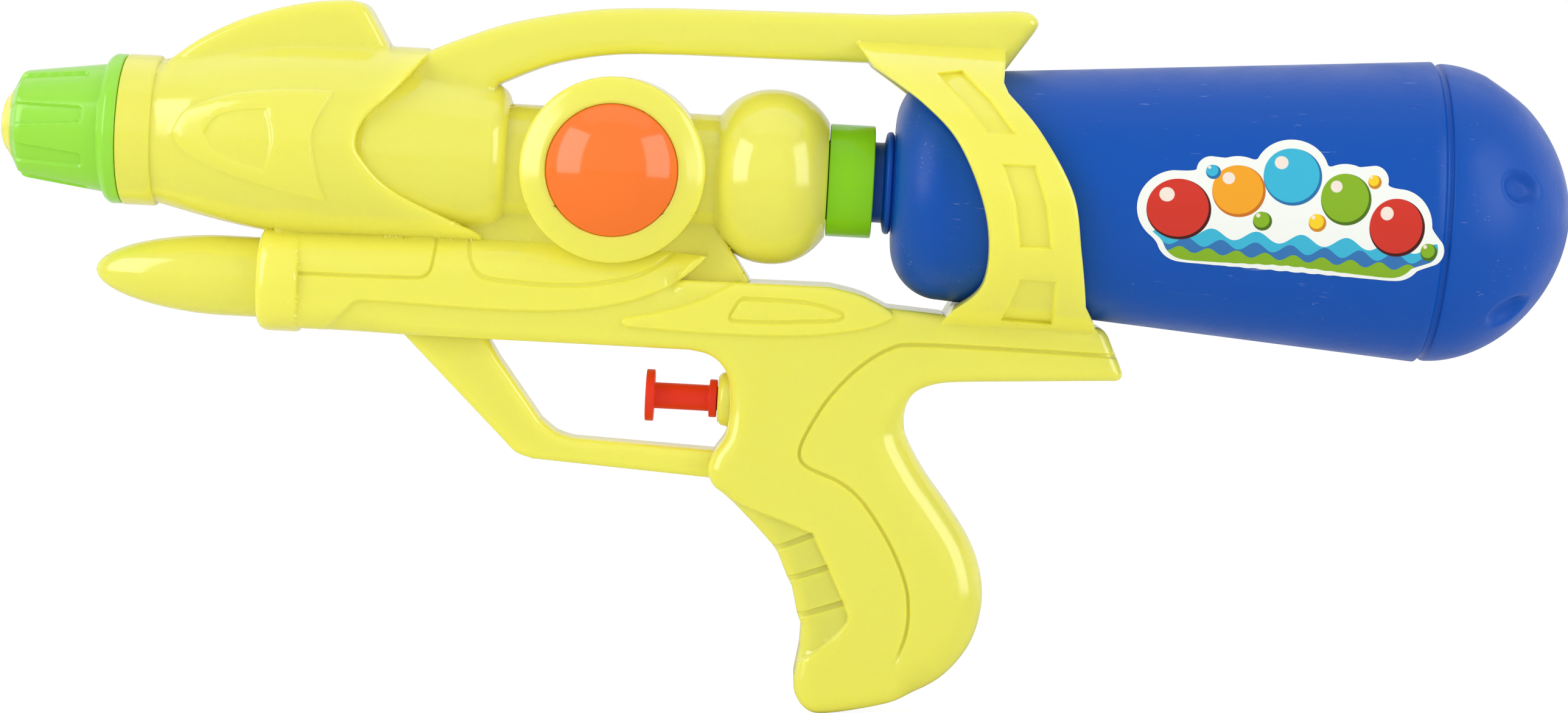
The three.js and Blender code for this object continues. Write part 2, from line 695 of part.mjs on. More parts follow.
const capCone = (x) => CAP_FRONT_R + (CAP_REAR_R - CAP_FRONT_R) * (x - TIP_REACH) / (capFlangeX - TIP_REACH);
const capProfile = [
  [TIP_REACH, TIP_DISC_R + SLIDE_GAP],
  [TIP_REACH, CAP_FRONT_R - CAP_CHAMFER],
  [TIP_REACH + CAP_CHAMFER, capCone(TIP_REACH + CAP_CHAMFER)],
  [capFlangeX, CAP_REAR_R],
  [capFlangeX + CAP_FLANGE / 4, CAP_FLANGE_R - CAP_FLANGE_EDGE],
  [capFlangeX + CAP_FLANGE / 2, CAP_FLANGE_R],
  [CAP_REAR_X, CAP_FLANGE_R],
  [CAP_REAR_X, capBoreR],
  [CAP_REAR_X - CAP_WALL, capBoreR],
  [CAP_REAR_X - CAP_WALL, CAP_REAR_R - CAP_WALL],
  [capLipX + CAP_WALL, capCone(capLipX + CAP_WALL) - CAP_WALL],
  [capLipX + CAP_WALL, capBoreR],
  [capLipX, capBoreR],
  [capLipX, capCone(capLipX) - CAP_WALL],
  [TIP_REACH + CAP_WALL + SEAT_GAP, CAP_FRONT_R - CAP_WALL],
  [TIP_REACH + CAP_WALL + SEAT_GAP, TIP_DISC_R + SLIDE_GAP],
  [TIP_REACH, TIP_DISC_R + SLIDE_GAP],
];
function flute(number) {
  const half = FLUTE_WIDTH / 2;
  const shape = outline(
    [[0, -half]],
    [[FLUTE_LENGTH - half, -half], [FLUTE_LENGTH, 0], [FLUTE_LENGTH - half, half]],
    [[0, half]],
  );
  const geometry = new THREE.ExtrudeGeometry(shape, {
    depth: FLUTE_CUTTER,
    bevelEnabled: false,
    curveSegments: 2,
  });
  geometry.rotateY(-Math.atan2(CAP_REAR_R - CAP_FRONT_R, capFlangeX - TIP_REACH));
  geometry.translate(TIP_REACH, 0, CAP_FRONT_R - FLUTE_DEPTH);
  geometry.rotateX(THREE.MathUtils.degToRad(90 - FLUTE_TURN + number * 360 / FLUTES));
  return solid(geometry).translate([0, 0, BARREL_Z]);
}
const flutes = joined(Array.from({ length: FLUTES }, (_, i) => flute(i)));
const nozzleCap = turned(capProfile, { at: [0, 0, BARREL_Z] }).subtract(flutes);

// Trigger, piston seal, cylinder and spring, on the pump's axis
const onPump = { at: [0, 0, PUMP_Z], sides: SLIM_ROUND };
const pistonR = PUMP_BORE_R - SLIDE_GAP;
const pistonGrooveX = PISTON_X + PISTON_LAND;
const pistonEndX = pistonGrooveX + PISTON_GROOVE + PISTON_LAND;
const trigger = turned([
  [PAD_X, 0],
  [PAD_X, PAD_R - PAD_EDGE],
  [PAD_X + PAD_EDGE, PAD_R],
  [PAD_X + PAD, PAD_R],
  [PAD_X + PAD, SHAFT_R],
  [GUIDE_X, SHAFT_R],
  [GUIDE_X, GUIDE_R],
  [GUIDE_X + GUIDE, GUIDE_R],
  [GUIDE_X + GUIDE, SHAFT_R],
  [PISTON_X, SHAFT_R],
  [PISTON_X, pistonR],
  [pistonGrooveX, pistonR],
  [pistonGrooveX, PISTON_GROOVE_R],
  [pistonGrooveX + PISTON_GROOVE, PISTON_GROOVE_R],
  [pistonGrooveX + PISTON_GROOVE, pistonR],
  [pistonEndX, pistonR],
  [pistonEndX, PISTON_STUB_R],
  [pistonEndX + PISTON_STUB, PISTON_STUB_R],
  [pistonEndX + PISTON_STUB, 0],
], onPump);
const pistonSeal = ring(
  pistonGrooveX + SEAT_GAP,
  pistonGrooveX + PISTON_GROOVE - SEAT_GAP,
  PISTON_GROOVE_R + SEAT_GAP,
  PUMP_BORE_R - SLIDE_GAP / 2,
  onPump,
);
const pumpCylinder = turned([
  [SLEEVE_X, LIP_R],
  [SLEEVE_X, PUMP_R - PUMP_NOSE_STEP],
  [SLEEVE_X + PUMP_NOSE / 3, PUMP_R - PUMP_NOSE_STEP / 3],
  [SLEEVE_X + PUMP_NOSE, PUMP_R],
  [PUMP_END_X, PUMP_R],
  [PUMP_END_X, PUMP_BORE_R],
  [SLEEVE_X + LIP, PUMP_BORE_R],
  [SLEEVE_X + LIP, LIP_R],
  [SLEEVE_X, LIP_R],
], onPump);
const springStart = pistonEndX + SEAT_GAP + WIRE_R;
const springEnd = PUMP_END_X - HEAD_SPIGOT - SEAT_GAP - WIRE_R;
const coilPoint = (t) => {
  const turn = 2 * Math.PI * COILS * t;
  const x = springStart + (springEnd - springStart) * t;
  return new THREE.Vector3(x, COIL_R * Math.cos(turn), PUMP_Z + COIL_R * Math.sin(turn));
};
const coilPoints = traced(COILS * WIRE_STEPS, coilPoint);
const coilGap = coilPoints.reduce((least, point, i) => {
  const turnAway = coilPoints.slice(i + WIRE_STEPS - 2).map((other) => point.distanceTo(other));
  return Math.min(least, ...turnAway);
}, Infinity) - 2 * WIRE_R;
console.log(`return spring: least gap between turns ${coilGap.toFixed(2)} mm`);
const returnSpring = tube(new THREE.CatmullRomCurve3(coilPoints), WIRE_R, 0, COILS * WIRE_STEPS, WIRE_ROUND);

// Pump head: a block with a spigot, two ball chambers and the passage that joins them to the cylinder
const headBlock = box(
  [HEAD_X, -HEAD_HALF, PUMP_Z - HEAD_BOTTOM],
  [HEAD_X + HEAD_LENGTH, HEAD_HALF, HEAD_ROOF_Z],
);
const valveBores = [OUTLET_X, INLET_X].flatMap((x) => [
  rod(VALVE_SEAT_Z, HEAD_ROOF_Z + OVERCUT, CHAMBER_R, { along: 'z', at: [x, 0, 0], sides: FINE_ROUND }),
  rod(PUMP_Z, VALVE_SEAT_Z + OVERCUT, PORT_R, { along: 'z', at: [x, 0, 0], sides: FINE_ROUND }),
]);
const headPassage = rod(PUMP_END_X - HEAD_SPIGOT - OVERCUT, INLET_X + PORT_R, PORT_R, {
  at: [0, 0, PUMP_Z],
  sides: FINE_ROUND,
});
const pumpHead = headBlock
  .add(rod(PUMP_END_X - HEAD_SPIGOT, HEAD_X + OVERCUT, PUMP_BORE_R - SEAT_GAP, onPump))
  .subtract(joined([...valveBores, headPassage]));
function ball(x) {
  const geometry = new THREE.SphereGeometry(BALL_R, 10, 6);
  geometry.translate(x, 0, BALL_Z);
  return solid(geometry);
}

// Hose stem: a plug in the ball chamber, a flange on the block, a riser and a nipple that points forward
const plugZ = BALL_Z + BALL_R + BALL_LIFT + BALL_GAP;
function elbow(x, z) {
  const path = new THREE.CurvePath();
  const at = (px, pz) => new THREE.Vector3(px, 0, pz);
  const riser = [at(x, plugZ), at(x, z - ELBOW_BEND)];
  const runOut = [at(x - ELBOW_BEND, z), at(x - ELBOW_BEND - NIPPLE, z)];
  path.add(new THREE.LineCurve3(...riser));
  path.add(new THREE.QuadraticBezierCurve3(riser[1], at(x, z), runOut[0]));
  path.add(new THREE.LineCurve3(...runOut));
  const around = { along: 'z', at: [x, 0, 0], sides: FINE_ROUND };
  return joined([
    tube(path, NIPPLE_R, 0, BEND_STEPS),
    rod(plugZ, HEAD_ROOF_Z + ELBOW_FLANGE, CHAMBER_R - SEAT_GAP, around),
    rod(HEAD_ROOF_Z + SEAT_GAP, HEAD_ROOF_Z + SEAT_GAP + ELBOW_FLANGE, CHAMBER_R + ELBOW_LIP, around),
  ]).subtract(tube(stretched(path, OVERCUT), NIPPLE_BORE_R, 0, BEND_STEPS, BORE_ROUND));
}
// The same path with both ends run on, so that a bore passes right through.
function stretched(path, extra) {
  const longer = new THREE.CurvePath();
  const points = path.getSpacedPoints(BEND_STEPS);
  const start = points[0].clone().addScaledVector(path.getTangent(0), -extra);
  const end = points[BEND_STEPS].clone().addScaledVector(path.getTangent(1), extra);
  longer.add(new THREE.LineCurve3(start, points[0]));
  path.curves.forEach((curve) => longer.add(curve));
  longer.add(new THREE.LineCurve3(points[BEND_STEPS], end));
  return longer;
}

// Hose routes in the mid-plane, from the pump outwards
const outletStart = OUTLET_X - ELBOW_BEND - SEAT_GAP;
const inletStart = INLET_X - ELBOW_BEND - SEAT_GAP;
const inletEnd = collarFlangeX - SEAT_GAP;
const outletPath = sidePath([
  [outletStart, OUTLET_Z], [outletStart - 8, OUTLET_Z], [193, -41.4], [181, -39.4], [166, -38.8],
  [152, -35.6], [141, -26.5], [132, -14], [122, -4.2], [110, 1.6], [96, BARREL_Z], [60, BARREL_Z],
  [tipBack + SEAT_GAP, BARREL_Z],
]);
const bendR = -INLET_Z / 2;
const bendX = 186;
const inletPath = sidePath([
  [inletStart, INLET_Z], [inletStart - 10, INLET_Z], [bendX, INLET_Z],
  ...traced(6, (t) => [
    bendX - bendR * Math.sin((t * 0.8 + 0.1) * Math.PI),
    INLET_Z / 2 - bendR * Math.cos((t * 0.8 + 0.1) * Math.PI),
  ]),
  [bendX, 0], [inletEnd - 8, 0], [inletEnd, 0],
]);
const dipStart = SOCKET_X + SEAT_GAP;
const dipPath = sidePath([
  [dipStart, 0], [dipStart + COLLAR_NIPPLE, 0], [dipStart + 2 * COLLAR_NIPPLE, 0],
  [248, -4], [280, -13], [312, -23], [334, -28.5],
]);
const hoseSteps = (path, step) => Math.round(path.getLength() / step);
function hose(path, step) {
  return tube(path, HOSE_R, HOSE_BORE_R, hoseSteps(path, step));
}
function hoseRun(path, step) {
  return tube(path, HOSE_R + SEAT_GAP, 0, hoseSteps(path, step));
}
const hosePassage = joined([hoseRun(outletPath, HOSE_STEP), hoseRun(inletPath, HOSE_STEP / 2)]);

// Screws and their posts
function screwSeat({ half }) {
  return half - SCREW_SINK - SCREW_HEAD;
}
function screw(place) {
  const seat = screwSeat(place) + SEAT_GAP;
  return turned([
    [-SCREW_BITE, 0],
    [-SCREW_BITE + SCREW_R, SCREW_R],
    [seat, SCREW_R],
    [seat, SCREW_HEAD_R],
    [seat + SCREW_HEAD - SCREW_CROWN, SCREW_HEAD_R],
    [seat + SCREW_HEAD, SCREW_HEAD_R - SCREW_CROWN],
    [seat + SCREW_HEAD, 0],
  ], { along: 'y', at: [place.x, 0, place.z], sides: FINE_ROUND });
}
function across(place, from, to, radius) {
  return rod(from, to, radius, { along: 'y', at: [place.x, 0, place.z], sides: FINE_ROUND });
}
const posts = joined(SCREWS.map((place) => across(place, -place.half, place.half, POST_R)));
const screwHoles = joined(SCREWS.flatMap((place) => [
  across(place, -SCREW_BITE - OVERCUT, screwSeat(place) + OVERCUT, SCREW_R + SEAT_GAP),
  across(place, screwSeat(place), place.half + OVERCUT, SCREW_HEAD_R + SEAT_GAP),
]));

// Ribs that cradle the hoses, the pump and the collar
function rib(x, [low, high]) {
  return box([x, -BEYOND, low], [x + RIB, BEYOND, high]);
}
const headRearX = HEAD_X + HEAD_LENGTH + SEAT_GAP;
const ribs = joined([
  ...BARREL_RIBS_X.map((x) => rib(x, [BARREL_Z - BARREL_RIB_HALF, BARREL_Z + BARREL_RIB_HALF])),
  rib(RAIL_RIB_X, RAIL_RIB_Z),
  ...PUMP_RIBS.map((back) => rib(SLEEVE_X + back, PUMP_RIB_Z)),
  rib(headRearX, [PUMP_RIB_Z[0], PUMP_Z]),
  ring(collarFlangeX - SEAT_GAP - RIB, collarFlangeX - SEAT_GAP, HOSE_R + SEAT_GAP, BULB_R),
]);

// Both shells in one, outside and hollow, before the split
const skirt = turned(barrelProfile, { at: [0, 0, BARREL_Z], sides: SHELL_ROUND })
  .intersect(slab(skirtOutline, BEYOND, SKIRT_STEP));
const hoopR = tankReach(HOOP_REAR_X) + TANK_CLEARANCE + HOOP_WALL;
const hoopSpan = [COLLAR_X, HOOP_REAR_X + OVERCUT];
const hoopSkin = ring(...hoopSpan, hoopR - WINDOW_DEPTH, hoopR + OVERCUT, { sides: BAND_ROUND });
const hoopBand = ring(...hoopSpan, hoopR - HOOP_WALL, hoopR, { sides: BAND_ROUND })
  .intersect(slab(hoopOutline, BEYOND, SKIRT_STEP))
  .subtract(joined(windowOutlines.map((shape) => slab(shape, BEYOND, WINDOW_DEPTH))).intersect(hoopSkin));
const gripPanel = slab(panelOutline, BODY_HALF + OVERCUT, WINDOW_DEPTH)
  .subtract(slab(panelOutline, BODY_HALF - PANEL_DEPTH, WINDOW_DEPTH, -OVERCUT));
const outside = joined([
  skirt,
  turned(coneProfile, { at: [0, 0, CONE_Z], sides: SHELL_ROUND }),
  slab(finOutline, FIN_HALF, FIN_EDGE),
  slab(handleOutline, HANDLE_HALF, HANDLE_EDGE),
  rod(TUBE_FRONT_X, BULB_X, TUBE_R),
  bossDrum,
  turned(bulbProfile),
  slab(webOutline, WEB_HALF, WEB_EDGE),
  slab(bodyOutline, BODY_HALF, BODY_EDGE),
  slab(guardOutline, GUARD_HALF, GUARD_EDGE),
  turned(rocketProfile, { at: [0, 0, ROCKET_Z], sides: SLIM_ROUND }),
  turned(clampProfile, { at: [0, 0, ROCKET_Z], sides: SLIM_ROUND }),
]).subtract(tankPassage.add(gripPanel)).add(hoopBand).add(spigot);
const barrelHollow = offset(barrelProfile.filter(([x]) => x < CONE_FRONT_X), -SHELL_WALL);
const hollow = joined([
  turned([
    [BARREL_FRONT_X + SHELL_WALL, 0],
    ...barrelHollow.slice(3),
    [barrelHollow.at(-1)[0], 0],
  ], { at: [0, 0, BARREL_Z], sides: HOLLOW_ROUND }),
  turned(offset(coneProfile, -SHELL_WALL), { at: [0, 0, CONE_Z], sides: HOLLOW_ROUND }),
  slab(finOutline, FIN_HALF, FIN_EDGE, SHELL_WALL),
  slab(handleOutline, HANDLE_HALF, HANDLE_EDGE, SHELL_WALL),
  rod(TUBE_FRONT_X, BULB_X, TUBE_R - SHELL_WALL, { sides: HOLLOW_ROUND }),
  bossHollow,
  turned(offset(bulbProfile, -SHELL_WALL), { sides: HOLLOW_ROUND }),
  slab(webOutline, WEB_HALF, WEB_EDGE, SHELL_WALL),
  slab(bodyOutline, BODY_HALF, BODY_EDGE, SHELL_WALL),
  slab(guardOutline, GUARD_HALF, GUARD_EDGE, SHELL_WALL),
  turned(offset(rocketProfile, -SHELL_WALL), { at: [0, 0, ROCKET_Z], sides: FINE_ROUND }),
]);
const pumpPassage = joined([
  rod(PAD_X, HEAD_X, PUMP_R + SEAT_GAP, onPump),
  box(
    [HEAD_X - SEAT_GAP, -HEAD_HALF - SEAT_GAP, PUMP_Z - HEAD_BOTTOM - SEAT_GAP],
    [HEAD_X + HEAD_LENGTH + SEAT_GAP, HEAD_HALF + SEAT_GAP, HEAD_ROOF_Z + SEAT_GAP],
  ),
]);
const shells = outside
  .subtract(hollow)
  .add(posts.add(ribs).add(spigot).intersect(outside))
  .subtract(joined([screwHoles, hosePassage, pumpPassage, tipPassage, collarPassage]))
  .subtract(domePocket.add(domePocket.mirror([0, 1, 0])));
const wholeLength = [-OVERCUT, TANK_END_X];
const wholeHeight = [-3 * BEYOND, BEYOND];
function side(from, to) {
  return box([wholeLength[0], from, wholeHeight[0]], [wholeLength[1], to, wholeHeight[1]]);
}

// Colours and finish of each moulding
const LEMON = { color: 0xeee863, roughness: 0.3 };
const GREEN = { color: 0x86d43a, roughness: 0.3 };
const ORANGE = { color: 0xff7a3c, roughness: 0.12 };
const RED = { color: 0xd8371d, roughness: 0.4 };
const BLUE = { color: 0x1a4aa6, roughness: 0.45 };
const CLEAR = { color: 0xdfe6e4, roughness: 0.3 };
const WHITE = { color: 0xe9e9e4, roughness: 0.4 };
const BLACK = { color: 0x222222, roughness: 0.8 };
const STEEL = { color: 0xb8babd, roughness: 0.35, metalness: 1 };

const squirter = new THREE.Group();
squirter.position.set(-HAND_X, 0, -HAND_Z);

function place(name, body, finish) {
  const mesh = body.getMesh();
  const geometry = new THREE.BufferGeometry();
  geometry.setAttribute('position', new THREE.BufferAttribute(mesh.vertProperties, 3));
  geometry.setIndex(new THREE.BufferAttribute(mesh.triVerts, 1));
  geometry.computeVertexNormals();
  const piece = new THREE.Mesh(geometry, new THREE.MeshStandardMaterial(finish));
  piece.name = name;
  squirter.add(piece);
}

place('left_shell', shells.intersect(side(-BEYOND, -PARTING_GAP / 2)), LEMON);
place('right_shell', shells.intersect(side(PARTING_GAP / 2, BEYOND)), LEMON);
place('nozzle_cap', nozzleCap, GREEN);
place('nozzle_tip', nozzleTip, LEMON);
place('left_dome', dome.mirror([0, 1, 0]), ORANGE);
place('right_dome', dome, ORANGE);
place('tank_collar', tankCollar, GREEN);
place('tank_seal', tankSeal, BLACK);
place('tank', tank, BLUE);
place('dip_tube', hose(dipPath, HOSE_STEP), CLEAR);
place('trigger', trigger, RED);
place('piston_seal', pistonSeal, BLACK);
place('return_spring', returnSpring, STEEL);
place('pump_cylinder', pumpCylinder, LEMON);
place('pump_head', pumpHead, WHITE);
place('inlet_ball', ball(INLET_X), WHITE);
place('outlet_ball', ball(OUTLET_X), WHITE);
place('inlet_elbow', elbow(INLET_X, INLET_Z), WHITE);
place('outlet_elbow', elbow(OUTLET_X, OUTLET_Z), WHITE);
place('inlet_hose', hose(inletPath, HOSE_STEP / 2), CLEAR);
place('outlet_hose', hose(outletPath, HOSE_STEP), CLEAR);
SCREWS.forEach((spot, i) => place(`shell_screw_${i + 1}`, screw(spot), STEEL));

export default squirter;
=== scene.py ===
"""Toy water squirter with a push trigger and a screw-in tank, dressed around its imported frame."""
import json
import math

import bmesh
import bpy
import numpy as np
from mathutils import Matrix, Vector
from mathutils.geometry import delaunay_2d_cdt


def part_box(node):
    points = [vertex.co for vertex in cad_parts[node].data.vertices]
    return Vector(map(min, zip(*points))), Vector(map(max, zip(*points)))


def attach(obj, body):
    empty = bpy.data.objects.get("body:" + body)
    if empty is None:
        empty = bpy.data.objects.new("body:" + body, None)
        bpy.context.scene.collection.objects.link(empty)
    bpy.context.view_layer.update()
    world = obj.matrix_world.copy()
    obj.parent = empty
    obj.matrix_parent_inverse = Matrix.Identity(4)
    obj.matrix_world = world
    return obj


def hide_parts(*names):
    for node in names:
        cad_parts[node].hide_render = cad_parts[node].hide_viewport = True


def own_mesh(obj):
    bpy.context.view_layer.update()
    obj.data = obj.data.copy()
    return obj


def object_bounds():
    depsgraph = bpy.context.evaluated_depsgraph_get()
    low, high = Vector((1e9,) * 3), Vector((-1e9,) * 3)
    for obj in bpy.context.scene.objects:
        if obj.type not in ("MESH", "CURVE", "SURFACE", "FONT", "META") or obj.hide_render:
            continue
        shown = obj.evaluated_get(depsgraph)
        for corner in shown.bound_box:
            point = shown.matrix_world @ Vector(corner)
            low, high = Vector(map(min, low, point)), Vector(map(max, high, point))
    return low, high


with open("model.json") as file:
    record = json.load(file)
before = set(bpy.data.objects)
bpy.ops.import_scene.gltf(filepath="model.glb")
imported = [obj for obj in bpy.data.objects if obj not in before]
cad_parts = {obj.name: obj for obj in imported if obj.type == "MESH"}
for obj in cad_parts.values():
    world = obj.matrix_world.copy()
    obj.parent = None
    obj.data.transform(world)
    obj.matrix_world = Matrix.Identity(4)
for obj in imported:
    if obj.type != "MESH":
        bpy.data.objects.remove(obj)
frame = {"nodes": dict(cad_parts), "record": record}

bl_info = {
    "name": "Toy water squirter",
    "version": (1, 0, 0),
    "blender": (4, 5, 0),
    "location": "3D View > Sidebar > Squirter",
    "description": "Builds the moulded shells, tank, trigger and fittings of a toy water squirter",
    "category": "Add Mesh",
}

CAD_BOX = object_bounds()
MM = 0.001

# The gun's own millimetres: x back from the nozzle tip, y across, z up from the tank's axis
TANK_LOW, TANK_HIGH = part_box("tank")
ORIGIN = np.array([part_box("nozzle_tip")[0].x, 0.0, (TANK_LOW.z + TANK_HIGH.z) / 2])
FLOOR_Z = CAD_BOX[0].z

# Places and reaches along the gun, in millimetres
BARREL_Z = 3.3
CONE_Z = 1.2
ROCKET_X = 26.2
ROCKET_Z = -32.6
PUMP_Z = -57.3
BOSS_X = 157.0
BULB_X = 197.0
BULB_HALF = 17.6
BULB_FRONT = 15.5
BULB_BACK = 14.0
COLLAR_X = 211.3
TANK_FRONT_X = 228.0
SHOULDER = 13.0
SHOULDER_R = 29.0
NECK_END_R = 15.5
TANK_END_X = 400.0
SEAM_X = TANK_END_X - 36.2
SLEEVE_X = 186.2

# Counts of flutes and turns, the first flute's turn in degrees and the power of the bulb's superellipse
FLUTES = 8
FLUTE_TURN = 180 - 12.5
SPRING_TURNS = 3
BULB_POWER = 2.2

# Shell walls in millimetres: half of the seam, the thinnest wall and the fillet where two forms meet
HALF_GAP = 0.15
THIN = 0.6
CREASE = 1.2

# Spacing of mesh points in millimetres: on open faces, along lines and beside steep walls
GRID = 1.0
STEP = 0.9
TWIN = 0.05
# Points on a rounded edge: leans in degrees for one radius, depths in millimetres for a changing one
EDGE_LEANS = [20, 36, 50, 63, 76, 90]
EDGE_DEPTHS = (0.07, 0.22, 0.5, 0.85, 1.25, 1.9, 2.8, 4.0, 5.4, 7.0, 9.0)
# Points of a line that another form covers, or where it folds over, by more than this are left out
COVER = 0.4
FOLD = 0.03

# What counts as touching, the height where a form isn't, and the distance of places past a line's margin
TOUCH = 0.01
NOWHERE = -1000.0
FAR = 99.0
MARGIN = 3.0
# How many places are measured at a time
CHUNK = 6000

# Pattern sizes in millimetres: scuffed patches, the spacing of dust specks, and hairlines along the gun
SCUFF_PATCH = 11.111
SPECK = 4.348
HAIRLINE = np.array([14.286, 0.6667, 0.5263])
# Real mould grain is finer, and is drawn as coarse as it needs to show
GRAIN = 1.4286
GRAIN_DEPTH = 0.3
# How far light goes into the lemon plastic
GLOW_DEPTH = 4.0


def length(name, default, what):
    """A size in metres that a user can change."""
    return bpy.props.FloatProperty(
        name=name, description=what, default=default * MM, unit="LENGTH", precision=5)


def colour(name, code, what):
    """A colour that a user can change, from its sRGB hex code."""
    return bpy.props.FloatVectorProperty(
        name=name, description=what, default=linear(code), size=4, min=0, max=1, subtype="COLOR")


def linear(code):
    """The linear colour of an sRGB hex code."""
    parts = [int(code[i:i + 2], 16) / 255 for i in (1, 3, 5)]
    return tuple(c / 12.92 if c <= 0.04045 else ((c + 0.055) / 1.055) ** 2.4 for c in parts) + (1.0,)


class SquirterSizes(bpy.types.PropertyGroup):
    """Sizes of the mouldings."""
    wall: length("Shell wall", 2, "Thickness of the half shells")
    barrel_r: length("Barrel radius", 24.6, "Radius of the barrel at its widest")
    fin_half: length("Fin half width", 9, "Half of the fin's width across the gun")
    handle_half: length("Handle half width", 9, "Half of the carry handle's width")
    handle_edge: length("Handle edge", 3, "Rounding of the carry handle's edges")
    body_half: length("Body half width", 12.4, "Half of the rail's and grip's width")
    body_edge: length("Grip front edge", 4.2, "Rounding of the front of the grip")
    rail_edge: length("Rail edge", 1.2, "Rounding of the rail's edges")
    grip_edge: length("Grip edge", 9, "Rounding of the back of the grip, where the palm lies")
    guard_half: length("Guard half width", 6.5, "Half of the trigger guard's width")
    web_half: length("Web half width", 8.2, "Half of the width of the web below the boss")
    tube_r: length("Tube radius", 15, "Radius of the tube that joins barrel, boss and bulb")
    boss_r: length("Boss radius", 23.3, "Outer radius of the round boss")
    boss_half: length("Boss half width", 21.6, "Half of the boss's width across the gun")
    dome_r: length("Dome radius", 16.5, "Radius of the orange domes")
    dome_rise: length("Dome rise", 6.8, "Height of a dome's crown above its rim")
    bulb_r: length("Bulb radius", 22.2, "Radius of the bulb in front of the collar")
    hoop_r: length("Hoop radius", 36.35, "Outer radius of the hoop round the tank")
    rocket_r: length("Rocket radius", 10.2, "Radius of the rocket below the barrel")
    clamp_r: length("Clamp radius", 13.3, "Radius of the clamp behind the rocket")
    relief: length("Relief", 1.0, "Height of the raised panels on the rail and grip")
    window: length("Window depth", 1.2, "Depth of the windows in the hoop")
    tank_r: length("Tank radius", 38.2, "Radius of the tank at its widest")
    collar_r: length("Collar radius", 14.3, "Radius of the tank's collar")
    cap_r: length("Cap radius", 16.3, "Radius of the nozzle cap in front of its flange")
    flute: length("Flute depth", 0.8, "Depth of the flutes in the nozzle cap")
    pad_r: length("Trigger pad radius", 6.6, "Radius of the trigger's pad")
    stroke: length("Trigger stroke", 12, "How far the trigger goes in, and the spring shortens")
    wire_r: length("Spring wire radius", 0.35, "Radius of the return spring's wire")


class SquirterColours(bpy.types.PropertyGroup):
    """Colours of the mouldings."""
    lemon: colour("Lemon", "#f9f161", "Half shells, nozzle tip and pump sleeve")
    green: colour("Green", "#9be441", "Nozzle cap")
    # The collar's colour is the cap's green with painted shade from the bulb and hoop: darker and deeper than
    # the cap's
    leaf: colour("Leaf green", "#8cd91e", "Tank collar")
    orange: colour("Orange", "#ff7c2e", "Domes on the boss")
    red: colour("Red", "#e63212", "Trigger")
    blue: colour("Blue", "#0050b2", "Tank")
    sticker: colour("Sticker", "#f4f7f0", "Sticker's white paper")
    white: colour("White", "#e9e9e4", "Pump head, balls and hose stems")
    milky: colour("Milky", "#dfe6e4", "Hoses and dip tube")
    rubber: colour("Rubber", "#222222", "Seals")
    steel: colour("Steel", "#b8babd", "Screws and spring")
    paper: colour("Paper", "#ffffff", "Floor and backdrop")


def mm(name):
    """A size from the panel, in millimetres."""
    return getattr(bpy.context.scene.squirter_sizes, name) / MM


def tint(name):
    """A colour from the panel."""
    return tuple(getattr(bpy.context.scene.squirter_colours, name))


# Curves in the side view

def spline(points, step=STEP):
    """A smooth curve through points, as a chain about a step apart.

    Uniform Catmull-Rom: p(t) = b + (c - a) t/2 + (a - 5b/2 + 2c - d/2) t^2 + (3b - a - 3c + d) t^3/2.
    """
    points = np.asarray(points, float)
    if len(points) == 1:
        return points
    ends = np.vstack([points[:1], points, points[-1:]])
    chain = []
    for a, b, c, d in zip(ends, ends[1:], ends[2:], ends[3:]):
        count = max(int(np.ceil(np.linalg.norm(c - b) / step)), 1)
        t = (np.arange(count) / count)[:, None]
        chain.append(b + 0.5 * t * (c - a) + t**2 * (a - 2.5 * b + 2 * c - 0.5 * d)
                     + t**3 * (-0.5 * a + 1.5 * b - 1.5 * c + 0.5 * d))
    return np.vstack(chain + [points[-1:]])


def outline(*stretches, step=STEP):
    """A closed chain: each stretch is a smooth curve, and straight runs join them."""
    curves = [spline(stretch, step) for stretch in stretches]
    chain = []
    for curve, after in zip(curves, curves[1:] + curves[:1]):
        gap = np.linalg.norm(after[0] - curve[-1])
        count = max(int(np.ceil(gap / step)), 1)
        run = np.arange(1, count)[:, None] / count
        chain += [curve, curve[-1] + run * (after[0] - curve[-1])]
    chain = np.vstack(chain)
    return chain[np.linalg.norm(chain - np.roll(chain, -1, 0), axis=1) > TOUCH]


def distance(line, places, closed):
    """Distance of each place from a chain of points, positive inside a closed one and negative outside."""
    found = np.full(len(places), -FAR if closed else FAR)
    near = ((places > line.min(0) - MARGIN) & (places < line.max(0) + MARGIN)).all(1).nonzero()[0]
    starts = line if closed else line[:-1]
    runs = (np.roll(line, -1, 0) if closed else line[1:]) - starts
    squares = (runs**2).sum(1)
    for part in np.array_split(near, len(near) // CHUNK + 1):
        off_x = places[part, 0][:, None] - starts[:, 0]
        off_z = places[part, 1][:, None] - starts[:, 1]
        t = np.clip((off_x * runs[:, 0] + off_z * runs[:, 1]) / squares, 0, 1)
        away = np.sqrt(((off_x - t * runs[:, 0])**2 + (off_z - t * runs[:, 1])**2).min(1))
        if closed:
            below = off_z < 0
            crossing = below != (off_z - runs[:, 1] < 0)
            safe = np.where(runs[:, 1] == 0, 1, runs[:, 1])
            odd = (crossing & (off_x < off_z / safe * runs[:, 0])).sum(1) % 2
            away = np.where(odd == 1, away, -away)
        found[part] = away
    return found


